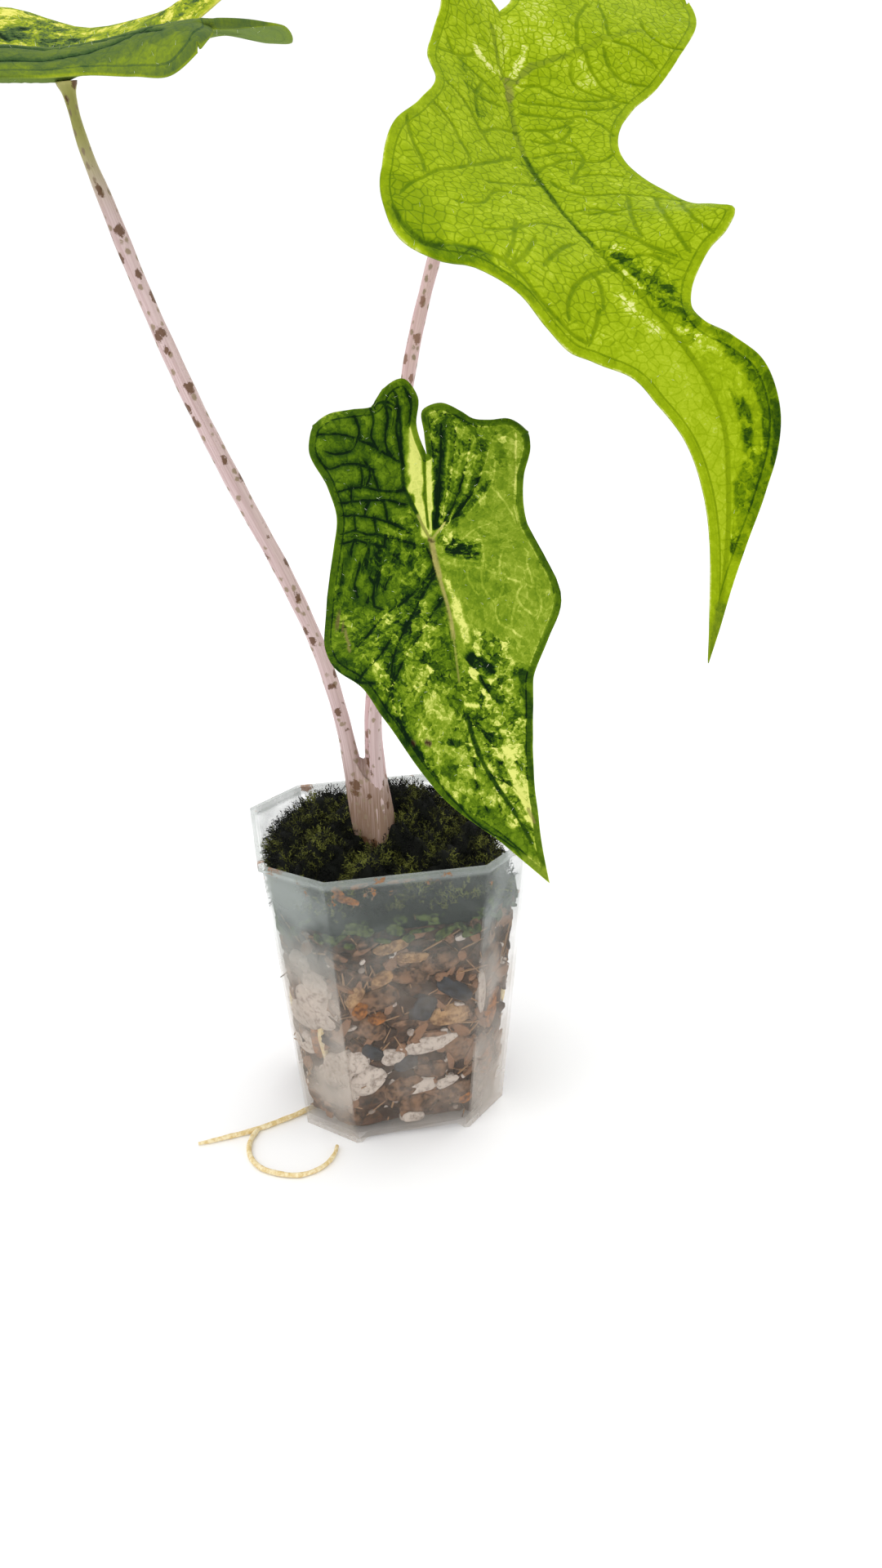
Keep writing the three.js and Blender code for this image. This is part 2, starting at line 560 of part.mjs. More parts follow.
/** Place in space of a point (u, v) of the flat blade that is lifted off it by z. */
function placeOnBlade(leaf, frame, u, v, z) {
  const { centre, up, across, fold } = frame.at(v);
  const side = u > 0 ? 1 : 0;
  const angle = THREE.MathUtils.degToRad(fold[side] - (leaf.droop[side] * Math.abs(u)) / 2);
  return centre
    .addScaledVector(across, u * Math.cos(angle))
    .addScaledVector(up, Math.abs(u) * Math.sin(angle) + z);
}

/** Point of the midrib (share 0 to 1) or of the curved rib of a lobe (share 1 to 2). */
function ribPoint(leaf, side, length, share) {
  if (share <= 1) {
    return [0, length * (1 - share)];
  }
  const q = share - 1;
  const bend = leaf[`${side}LobeBend`];
  const end = leaf[side][leaf[side].length - 1];
  return [0, 1].map((c) => 2 * q * (1 - q) * bend[c] + q * q * end[c]);
}

/** Outer margin [u, v, lift] where the vein that starts at the given share ends. */
function outerMargin(leaf, side, share) {
  const rows = leaf[side];
  const arc = runningLength(rows, 2);
  const s = linear(rows.map((row) => row[2]), arc, share);
  return smooth(arc, rows.map(([u, v, , lift]) => [u, v, lift]), s);
}

/** Inner margin of a lobe: the middle line up to the notch, then the free edge to the lobe's end. */
function innerMargin(leaf, side, share) {
  const q = share - 1;
  if (q <= leaf.notchShare) {
    return [0, (leaf.notch * q) / leaf.notchShare, 0];
  }
  const end = leaf[side][leaf[side].length - 1];
  const rows = [[0, leaf.notch, 0], ...leaf[`${side}Sinus`], [end[0], end[1], end[3]]];
  const arc = runningLength(rows, 2);
  const free = (q - leaf.notchShare) / (1 - leaf.notchShare);
  return smooth(arc, rows, free * arc[arc.length - 1]);
}

const OUTER_COLUMNS = [0, 0.06, 0.3, 0.55, 0.8, 1];
const INNER_COLUMNS = [0, 0.1, 0.55, 1];

/** The blade's middle surface as shared points, each with its rib depth, and triangles. */
function bladeSheet(leaf) {
  const frame = ribFrame(leaf);
  const points = [];
  const depths = [];
  const triangles = [];
  const known = new Map();
  const add = (u, v, lift, depth) => {
    const key = `${u.toFixed(3)},${v.toFixed(3)}`;
    if (!known.has(key)) {
      known.set(key, points.length);
      points.push(placeOnBlade(leaf, frame, u, v, lift));
      depths.push(depth);
    }
    return known.get(key);
  };
  const shares = [];
  for (let i = 0; i <= leaf.ribRows; i += 1) {
    shares.push(i / leaf.ribRows);
  }
  for (let i = 1; i <= leaf.lobeRows; i += 1) {
    shares.push(1 + i / leaf.lobeRows);
  }
  const strip = (side, margin, rows, columns, flip) => {
    const grid = rows.map((share) => {
      const rib = ribPoint(leaf, side, frame.length, share);
      const edge = margin(leaf, side, share);
      const depth = RIB_DEPTH * (share < 1 ? 0.25 + 0.75 * share : 1.4 - 0.6 * share);
      return columns.map((t) => add(
        rib[0] * (1 - t) + edge[0] * t, rib[1] * (1 - t) + edge[1] * t, edge[2] * t ** 1.7,
        t === 0 ? depth : 0));
    });
    for (let r = 0; r < grid.length - 1; r += 1) {
      for (let c = 0; c < columns.length - 1; c += 1) {
        const [a, b, d, e] = [grid[r][c], grid[r][c + 1], grid[r + 1][c], grid[r + 1][c + 1]];
        for (const t of [[a, b, e], [a, e, d]]) {
          if (new Set(t).size === 3) {
            triangles.push(flip ? [t[0], t[2], t[1]] : t);
          }
        }
      }
    }
  };
  const lobeShares = shares.filter((share) => share >= 1);
  strip('left', outerMargin, shares, OUTER_COLUMNS, true);
  strip('right', outerMargin, shares, OUTER_COLUMNS, false);
  strip('left', innerMargin, lobeShares, INNER_COLUMNS, false);
  strip('right', innerMargin, lobeShares, INNER_COLUMNS, true);
  return { points, depths, triangles };
}

/** The blade as a closed body: the sheet's two faces, split alike, and the edge between them. */
function makeBlade(leaf) {
  const { points, depths, triangles } = bladeSheet(leaf);
  const normals = points.map(() => new THREE.Vector3());
  for (const [a, b, c] of triangles) {
    const face = new THREE.Vector3().subVectors(points[b], points[a])
      .cross(new THREE.Vector3().subVectors(points[c], points[a]));
    for (const i of [a, b, c]) {
      normals[i].add(face);
    }
  }
  normals.forEach((normal) => normal.normalize());
  const upper = points.map((p, i) => p.clone().addScaledVector(normals[i], BLADE / 2).toArray());
  const lower = points.map((p, i) =>
    p.clone().addScaledVector(normals[i], -BLADE / 2 - depths[i]).toArray());
  const n = points.length;
  const closed = [];
  const edges = new Set(triangles.flatMap(([a, b, c]) => [`${a}_${b}`, `${b}_${c}`, `${c}_${a}`]));
  for (const [a, b, c] of triangles) {
    closed.push([a, b, c], [a + n, c + n, b + n]);
    for (const [i, j] of [[a, b], [b, c], [c, a]]) {
      if (!edges.has(`${j}_${i}`)) {
        closed.push([i, i + n, j + n], [i, j + n, j]);
      }
    }
  }
  return geometryOf([...upper, ...lower], closed);
}

// Leaf stalks: each ends flat against the underside of its blade. Rows are [x, y, z, radius].

const STALKS = {
  petiole_1: {
    leaf: FAR_LEAF,
    rows: [[-7.6, 4.6, 90, 2.9], [-7.6, 4.4, 98, 3.2], [-8.3, 4.1, 107.5, 3.4],
      [-9.4, 3.5, 120, 3.3], [-11.1, 2.8, 133, 2.9], [-13.3, 2.1, 146, 2.6], [-19, 1, 169, 2.5],
      [-29.5, 0.2, 197, 2.6], [-40.3, 0, 220.7, 2.7], [-53, -1.5, 250.7, 2.6], [-63.1, -2.6, 278.6, 2.4],
      [-71.4, -1.5, 304.8, 2.2], [-76.2, 0, 320.5, 1.8]],
  },
  petiole_2: {
    leaf: LARGE_LEAF,
    rows: [[-0.4, 2.4, 90, 3.1], [-0.3, 2.4, 98, 3.3], [-0.1, 3.1, 107, 3.6],
      [-1.5, 3.8, 119.3, 3.5], [-2.3, 3.3, 131.7, 3.3], [-2.2, 2.6, 144, 2.9], [0.3, 2.1, 166.8, 2.6],
      [4.8, 2.3, 194.2, 2.4], [10.4, 5.2, 230.2, 2.3], [17.6, 9.4, 264.7, 2.15], [24.2, 11.2, 286, 2.1],
      [31.2, 7.4, 307.6, 1.95], [38, 2.6, 322, 1.8]],
  },
  petiole_3: {
    leaf: SMALL_LEAF,
    rows: [[-2.4, -4.3, 90, 2.3], [-2.4, -4.2, 100, 2.4], [-2.2, -3.5, 109.6, 2.5],
      [-2.5, -3.1, 121.7, 2.4], [-2.8, -3.6, 134, 2.2], [-2.6, -5.2, 146, 2.1], [-0.8, -10, 160, 1.95],
      [2, -18.5, 174.5, 1.8], [5.1, -31, 189, 1.7], [7.1, -46.5, 201.5, 1.55], [7.8, -56, 207.5, 1.5]],
  },
};

/** One stalk from the corm up to its blade; grow widens it, to cut room for it. */
function makeStalk(name, grow) {
  const { leaf, rows } = STALKS[name];
  const frame = ribFrame(leaf);
  const { centre, up } = frame.at(0);
  const under = BLADE / 2 + RIB_DEPTH + 0.1 + GAP;
  const seat = centre.clone().addScaledVector(up, -under);
  const top = [...seat.toArray(), rows[rows.length - 1][3] * 1.1];
  const cut = { point: seat, normal: up };
  const foot = [rows[0][0], rows[0][1], STALK_FOOT - grow, rows[0][3]];
  return tube([foot, ...rows, top], STALK_SIDES, 26, grow, grow ? null : cut);
}

// Materials

const CLEAR_PLASTIC = { color: 0xb9c6cb, roughness: 0.25, metalness: 0 };
const MIX = { color: 0x6b4a36, roughness: 0.95, metalness: 0 };
const MOSS = { color: 0x2f3d17, roughness: 1, metalness: 0 };
const ROOT = { color: 0xd9b872, roughness: 0.7, metalness: 0 };
const STALK = { color: 0xd8bdb8, roughness: 0.55, metalness: 0 };
const DARK_BLADE = { color: 0x4f7f24, roughness: 0.5, metalness: 0 };
const LIGHT_BLADE = { color: 0x9ac41c, roughness: 0.5, metalness: 0 };

// Assembly

const plant = new THREE.Group();

/** Adds one named piece to the plant. */
function place(name, geometry, finish) {
  const mesh = new THREE.Mesh(geometry, new THREE.MeshStandardMaterial(finish));
  mesh.name = name;
  plant.add(mesh);
}

const stalkNames = Object.keys(STALKS);
const stalkHoles = stalkNames.map((name) => solid(makeStalk(name, GAP + 0.05)));
const rootHole = makeRootstock(GAP + 0.05);
const holes = stalkHoles.reduce((sum, hole) => sum.add(hole), rootHole);

place('pot', geometryFrom(makePot()), CLEAR_PLASTIC);
place('potting_mix', geometryFrom(makeMix(holes)), MIX);
place('moss_top', geometryFrom(makeMoss(holes)), MOSS);
place('rootstock', geometryFrom(makeRootstock(0)), ROOT);
for (const name of stalkNames) {
  place(name, makeStalk(name, 0), STALK);
}
place('leaf_blade_1', makeBlade(FAR_LEAF), DARK_BLADE);
place('leaf_blade_2', makeBlade(LARGE_LEAF), LIGHT_BLADE);
place('leaf_blade_3', makeBlade(SMALL_LEAF), DARK_BLADE);

export default plant;
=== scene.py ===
"""Looks for the potted variegated alocasia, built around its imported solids.

Lengths in the tables are millimetres, as in the part's source. Meshes are made in metres, each
with its place in its vertices and its object at the origin. Every piece rides on the one body,
"root".
"""

import json
import logging
import math
from collections.abc import Callable
from dataclasses import dataclass, field
from enum import Enum
from functools import partial

import bmesh
import bpy
import numpy as np
from mathutils import Matrix, Vector

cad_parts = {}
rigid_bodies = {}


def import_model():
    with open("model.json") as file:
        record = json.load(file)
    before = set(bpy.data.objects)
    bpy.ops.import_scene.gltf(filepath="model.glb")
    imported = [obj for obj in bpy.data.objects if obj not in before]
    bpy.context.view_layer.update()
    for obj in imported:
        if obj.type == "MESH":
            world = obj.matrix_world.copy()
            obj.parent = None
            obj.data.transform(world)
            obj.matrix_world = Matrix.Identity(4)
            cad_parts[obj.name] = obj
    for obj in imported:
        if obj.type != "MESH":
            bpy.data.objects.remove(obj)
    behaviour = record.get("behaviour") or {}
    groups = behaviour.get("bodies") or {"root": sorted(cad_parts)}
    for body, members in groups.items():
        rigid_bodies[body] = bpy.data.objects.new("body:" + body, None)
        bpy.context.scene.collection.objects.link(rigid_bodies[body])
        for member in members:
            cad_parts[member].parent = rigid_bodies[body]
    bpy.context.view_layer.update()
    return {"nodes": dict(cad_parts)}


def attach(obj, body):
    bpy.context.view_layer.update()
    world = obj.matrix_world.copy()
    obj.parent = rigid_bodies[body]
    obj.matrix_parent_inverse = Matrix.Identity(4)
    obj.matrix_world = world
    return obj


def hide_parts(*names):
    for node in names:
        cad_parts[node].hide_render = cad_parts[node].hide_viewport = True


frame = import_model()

log = logging.getLogger("alocasia")
Array = np.ndarray
Body = tuple[np.ndarray, list]  # points and faces
Material = bpy.types.Material
Object = bpy.types.Object
Node = bpy.types.Node
Socket = bpy.types.NodeSocket
Source = Node | Socket
Table = list[tuple[float, ...]]

MM = 0.001
BODY = "root"


class Side(Enum):
    """The two halves of a blade, seen on its upper face with the tip down."""

    LEFT = "left"
    RIGHT = "right"


# Numbers along curves


def running(points: Array) -> Array:
    """Running length along a row of points, from 0."""
    steps = np.linalg.norm(np.diff(points, axis=0), axis=1)
    return np.concatenate([[0.0], np.cumsum(steps)])


def unit(vectors: Array) -> Array:
    """Vectors of length 1."""
    return vectors / np.linalg.norm(vectors, axis=-1, keepdims=True)


def smooth(knots: Array, rows: Array, at: Array) -> Array:
    """Smooth curve through rows of numbers, the same one that the part's source uses.

    Args:
        knots: Where each row stands, rising.
        rows: The numbers at the knots, one row for each.
        at: Where to read the curve.

    Returns:
        One row for each place in at.
    """
    rows = np.asarray(rows, float)
    span = np.diff(knots)[:, None]
    rate = np.diff(rows, axis=0) / span
    slope = np.zeros_like(rows)
    slope[1:-1] = (rate[:-1] * span[1:] + rate[1:] * span[:-1]) / (span[1:] + span[:-1])
    slope[0] = 1.5 * rate[0] - 0.5 * slope[1]
    slope[-1] = 1.5 * rate[-1] - 0.5 * slope[-2]
    x = np.clip(at, knots[0], knots[-1])
    i = np.clip(np.searchsorted(knots, x, side="right") - 1, 0, len(knots) - 2)
    h = (knots[i + 1] - knots[i])[..., None]
    s = (x - knots[i])[..., None] / h
    return (
        (2 * s**3 - 3 * s**2 + 1) * rows[i]
        + (s**3 - 2 * s**2 + s) * h * slope[i]
        + (3 * s**2 - 2 * s**3) * rows[i + 1]
        + (s**3 - s**2) * h * slope[i + 1]
    )


def ramp(low: float, high: float, x: Array) -> Array:
    """Soft step from 0 at low to 1 at high."""
    s = np.clip((x - low) / (high - low), 0, 1)
    return s * s * (3 - 2 * s)


def hump(x: Array) -> Array:
    """Bell curve, 1 at 0."""
    return np.exp(-(x * x))


def blend(share: Array, first: Array | float, second: Array | float) -> Array:
    """From the first at share 0 to the second at share 1."""
    return first * (1 - share) + second * share


def ripple(u: Array, v: Array, size: float, seed: int, octaves: int = 3) -> Array:
    """Soft seeded noise on a plane, from about -1 to 1.

    Args:
        u: First coordinate, in mm.
        v: Second coordinate, in mm.
        size: Size of the largest waves, in mm.
        seed: Which noise.
        octaves: How many layers, each half the size of the one before.

    Returns:
        The noise at each place.
    """
    total, weight = np.zeros(np.shape(u)), 1.0
    for k in range(octaves):
        x, y = u / size * 2**k + 17.3 * seed, v / size * 2**k - 9.1 * seed
        i, j = np.floor(x), np.floor(y)
        fx, fy = ramp(0, 1, x - i), ramp(0, 1, y - j)

        def corner(a: int, b: int) -> Array:
            """Random number of one corner of the lattice."""
            h = np.sin((i + a) * 127.1 + (j + b) * 311.7 + seed * 74.7) * 43758.5453
            return h - np.floor(h)

        low = blend(fx, corner(0, 0), corner(1, 0))
        high = blend(fx, corner(0, 1), corner(1, 1))
        total += weight * (2 * blend(fy, low, high) - 1)
        weight *= 0.5
    return total / 1.4


def nearest(points: Array, path: Array) -> Array:
    """Distance from each point of a plane to the nearest point of a close row of points."""
    best = np.full(len(points), 1e9)
    for start in range(0, len(path), 60):
        gap = points[:, None, :] - path[None, start : start + 60, :]
        best = np.minimum(best, (gap**2).sum(2).min(1))
    return np.sqrt(best)


def around(count: int) -> Array:
    """Directions of evenly spaced points round a circle."""
    return 2 * np.pi * np.arange(count) / count


def circle(far: Array | float, turn: Array, z: Array | float) -> Array:
    """Points in the directions turn, far from the middle, at height z."""
    return np.stack([far * np.cos(turn), far * np.sin(turn), z + 0 * turn], -1)


# Meshes


def new_object(name: str, data: bpy.types.ID) -> Object:
    """New object in the scene, at the origin."""
    made = bpy.data.objects.new(name, data)
    bpy.context.scene.collection.objects.link(made)
    return made


def mesh_object(name: str, points: Array, faces: list, flat: bool = False) -> Object:
    """New object with the given mesh.

    Args:
        name: The piece's name.
        points: Its vertices, in mm.
        faces: Rows of vertex numbers.
        flat: Leaves the faces flat-shaded.

    Returns:
        The object, at the origin and in the scene.
    """
    mesh = bpy.data.meshes.new(name)
    mesh.from_pydata((np.asarray(points) * MM).tolist(), [], faces)
    if not flat:
        mesh.shade_smooth()
    return new_object(name, mesh)


def mark(piece: Object, name: str, values: Array) -> None:
    """Stores numbers on the vertices: one each, or three each as a vector."""
    kind, key = ("FLOAT_VECTOR", "vector") if values.ndim == 2 else ("FLOAT", "value")
    layer = piece.data.attributes.new(name, kind, "POINT")
    layer.data.foreach_set(key, values.astype(np.float32).ravel())


def sheet_normals(points: Array, faces: list) -> Array:
    """Normal of a sheet at each of its points, from the faces around it."""
    quads = np.array([[*f, f[-1]] if len(f) == 3 else f for f in faces])
    a, b, c, d = (points[quads[:, k]] for k in range(4))
    normals = np.zeros_like(points)
    for k in range(4):
        np.add.at(normals, quads[:, k], np.cross(c - a, d - b))
    return normals / np.maximum(np.linalg.norm(normals, axis=1, keepdims=True), 1e-12)


def rings_mesh(rings: Array) -> Body:
    """Closed body through rings of equal point counts.

    Args:
        rings: Points by ring, place in the ring and axis.

    Returns:
        Its points and faces, with a fan at each end.
    """
    count, n, _ = rings.shape
    points = np.vstack([rings.reshape(-1, 3), rings[0].mean(0), rings[-1].mean(0)])
    low, high, top = count * n, count * n + 1, (count - 1) * n
    sides = [(i, (i + 1) % n) for i in range(n)]
    faces = [
        (r * n + i, r * n + j, (r + 1) * n + j, (r + 1) * n + i)
        for r in range(count - 1)
        for i, j in sides
    ]
    for i, j in sides:
        faces += [(low, j, i), (high, top + i, top + j)]
    return points, faces


def joined(bodies: list[Body]) -> Body:
    """Several bodies as one mesh's points and faces."""
    faces, count = [], 0
    for points, part in bodies:
        faces += [tuple(i + count for i in f) for f in part]
        count += len(points)
    return np.vstack([points for points, _ in bodies]), faces


def tube_rings(rows: Table, sides: int, steps: int, widen: Callable) -> tuple[Array, Array]:
    """Rings along a smooth route.

    Args:
        rows: Stations [x, y, z, radius].
        sides: Points in a ring.
        steps: Pieces along the route.
        widen: Function of (length along, angle) that gives what is added to the radius.

    Returns:
        The rings, and the length along at each of them.
    """
    table = np.array(rows, float)
    knots = running(table[:, :3])
    along = np.linspace(0, knots[-1], steps + 1)
    read = smooth(knots, table, along)
    fore = smooth(knots, table, np.minimum(along + 0.5, knots[-1]))[:, :3]
    aft = smooth(knots, table, np.maximum(along - 0.5, 0))[:, :3]
    ahead = unit(fore - aft)
    turns = around(sides)
    across = np.array([1.0, 0, 0])
    rings = []
    for k, s in enumerate(along):
        beside = unit(np.cross(ahead[k], across))
        across = np.cross(beside, ahead[k])
        radius = read[k, 3] + widen(s, turns)
        sideways = np.outer(radius * np.cos(turns), across)
        rings.append(read[k, :3] + sideways + np.outer(radius * np.sin(turns), beside))
    return np.array(rings), along


# Node trees: names and settings of the nodes that are used most

ATTRIBUTE, MATH, VECTOR = "ShaderNodeAttribute", "ShaderNodeMath", "ShaderNodeVectorMath"
NOISE, CELLS, MAPPING = "ShaderNodeTexNoise", "ShaderNodeTexVoronoi", "ShaderNodeMapping"
SPLIT, RANGE, STOPS = "ShaderNodeSeparateXYZ", "ShaderNodeMapRange", "ShaderNodeValToRGB"
SOFT = {"interpolation_type": "SMOOTHSTEP"}
FUSED = {"operation": "MULTIPLY_ADD"}


def srgb(code: str) -> tuple[float, float, float, float]:
    """Linear colour from an sRGB hex code such as "#7da33c"."""
    parts = [int(code[k : k + 2], 16) / 255 for k in (1, 3, 5)]
    line = [c / 12.92 if c <= 0.04045 else ((c + 0.055) / 1.055) ** 2.4 for c in parts]
    return (line[0], line[1], line[2], 1.0)


def put(
    tree: bpy.types.NodeTree, kind: str, inputs: dict | tuple = (), **settings: object
) -> Node:
    """Adds one node to a tree.

    Args:
        tree: The tree.
        kind: Blender's name of the node's type.
        inputs: What its inputs get, in order or by name or number: a value, a hex colour, a
            socket or a node (its first output).
        **settings: The node's own settings; ramp gives a colour ramp's stops as (place, hex).

    Returns:
        The node.
    """
    node = tree.nodes.new(kind)
    stops = settings.pop("ramp", None)
    for name, value in settings.items():
        setattr(node, name, value)
    if stops:
        while len(node.color_ramp.elements) < len(stops):
            node.color_ramp.elements.new(1.0)
        for element, (place, code) in zip(node.color_ramp.elements, stops):
            element.position, element.color = place, srgb(code)
    for key, value in (inputs if isinstance(inputs, dict) else dict(enumerate(inputs))).items():
        if isinstance(value, bpy.types.Node):
            value = value.outputs[0]
        if isinstance(value, bpy.types.NodeSocket):
            tree.links.new(value, node.inputs[key])
        else:
            is_hex = isinstance(value, str) and value.startswith("#")
            node.inputs[key].default_value = srgb(value) if is_hex else value
    return node


def new_material(name: str) -> tuple[Material, Callable]:
    """Empty node material, and put() for its tree."""
    made = bpy.data.materials.new(name)
    made.use_nodes = True
    made.node_tree.nodes.clear()
    return made, partial(put, made.node_tree)


def layered(node: Callable, colour: Source | str, *covers: tuple) -> Source | str:
    """Colours laid over each other.

    Args:
        node: put() for the material's tree.
        colour: The lowest one, as a hex colour, a socket or a node.
        *covers: How much of it is covered, and the colour that covers it, from low to high.

    Returns:
        The socket of the result.
    """
    for cover, over in covers:
        mixed = node("ShaderNodeMix", {0: cover, 6: colour, 7: over}, data_type="RGBA")
        colour = mixed.outputs[2]
    return colour


def end_material(node: Callable, inputs: dict, relief: tuple = ()) -> None:
    """Ends a material with its shader.

    Args:
        node: put() for the material's tree.
        inputs: What the shader's inputs get.
        relief: Height, depth in metres and strength of its bump, where it has one.
    """
    if relief:
        bump = dict(zip(("Height", "Distance", "Strength"), relief))
        inputs["Normal"] = node("ShaderNodeBump", bump)
    shader = node("ShaderNodeBsdfPrincipled", inputs)
    node("ShaderNodeOutputMaterial", {"Surface": shader})


class GrowTree:
    """A Geometry Nodes tree with named inputs that ends in real faces with a material."""

    def __init__(self, name: str, **inputs: str) -> None:
        """Makes the tree and its inputs.

        Args:
            name: The tree's name.
            **inputs: Name and type of each input between the geometry and the material.
        """
        self.tree = bpy.data.node_groups.new(name, "GeometryNodeTree")
        add = self.tree.interface.new_socket
        for way in ("INPUT", "OUTPUT"):
            add("Geometry", in_out=way, socket_type="NodeSocketGeometry")
        self.ids = {
            label: add(label, in_out="INPUT", socket_type="NodeSocket" + kind).identifier
            for label, kind in {**inputs, "Material": "Material"}.items()
        }
        self.put = partial(put, self.tree)
        self.start = self.put("NodeGroupInput")

    def size(self, label: str) -> Socket:
        """Output socket that carries a named input."""
        return self.start.outputs[label]

    def scatter(
        self,
        shape: Source,
        lean: tuple | list,
        seed: Socket | int,
        where: Source | None = None,
        size: tuple | None = None,
        tone: Source | None = None,
    ) -> None:
        """Sets a shape all over the guide, turned at random, and closes the tree.

        Args:
            shape: The shape, as a node or socket.
            lean: Least and most turn about the shape's own axes.
            seed: Seed of the turns.
            where: Where the shapes may stand; everywhere if left out.
            size: Least and most size, drawn with the same seed; 1 if left out.
            tone: Number that each shape keeps as "bit" for its finish.
        """
        inputs = {0: self.start, "Density": self.size("Density"), "Seed": self.size("Seed")}
        if where is not None:
            inputs["Selection"] = where
        spots = self.put("GeometryNodeDistributePointsOnFaces", inputs)
        placing = {0: spots, "Instance": shape}
        for name, span in (("Rotation", lean), ("Scale", size)):
            if span is not None:
                placing[name] = self.put(
                    "FunctionNodeRandomValue",
                    {0: span[0], 1: span[1], "Seed": seed},
                    data_type="FLOAT_VECTOR",
                )
        placing["Rotation"] = self.put(
            "FunctionNodeRotateRotation",
            (spots.outputs["Rotation"], placing["Rotation"]),
            rotation_space="LOCAL",
        )
        placed = self.put("GeometryNodeInstanceOnPoints", placing)
        if tone is not None:
            placed = self.put(
                "GeometryNodeStoreNamedAttribute",
                {0: placed, "Name": "bit", "Value": tone},
                data_type="FLOAT",
                domain="INSTANCE",
            )
        self.end(placed)

    def end(self, geometry: Node) -> None:
        """Closes the tree: instances become faces, and the faces get the material."""
        real = self.put("GeometryNodeRealizeInstances", (geometry,))
        material = {0: real, "Material": self.size("Material")}
        self.put("NodeGroupOutput", (self.put("GeometryNodeSetMaterial", material),))

    def grow(self, guide: Object, name: str, **sizes: object) -> Object:
        """Runs the tree on a guide and keeps the result as a plain mesh.

        Args:
            guide: The object that the tree works on; it stays as it is.
            name: Name of the new piece.
            **sizes: Value of each named input.

        Returns:
            The new piece.
        """
        modifier = guide.modifiers.new(name, "NODES")
        modifier.node_group = self.tree
        for label, value in sizes.items():
            modifier[self.ids[label]] = value
        graph = bpy.context.evaluated_depsgraph_get()
        mesh = bpy.data.meshes.new_from_object(guide.evaluated_get(graph))
        mesh.name = name
        guide.modifiers.remove(modifier)
        return new_object(name, mesh)


def drop(thing: Object) -> None:
    """Removes a guide object that isn't a piece."""
    bpy.data.objects.remove(thing)


def dress(piece: Object, finish: Material, slot: str, *nodes: str) -> None:
    """Finishes a piece: its material, its body and what it stands for.

    Args:
        piece: The piece.
        finish: Its material.
        slot: The record's material slot; not used.
        *nodes: The CAD nodes that it replaces.
    """
    piece.data.materials.clear()
    piece.data.materials.append(finish)
    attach(piece, BODY)
    if nodes:
        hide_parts(*nodes)
    log.info("%s: %d faces", piece.name, len(piece.data.polygons))


# Finishes


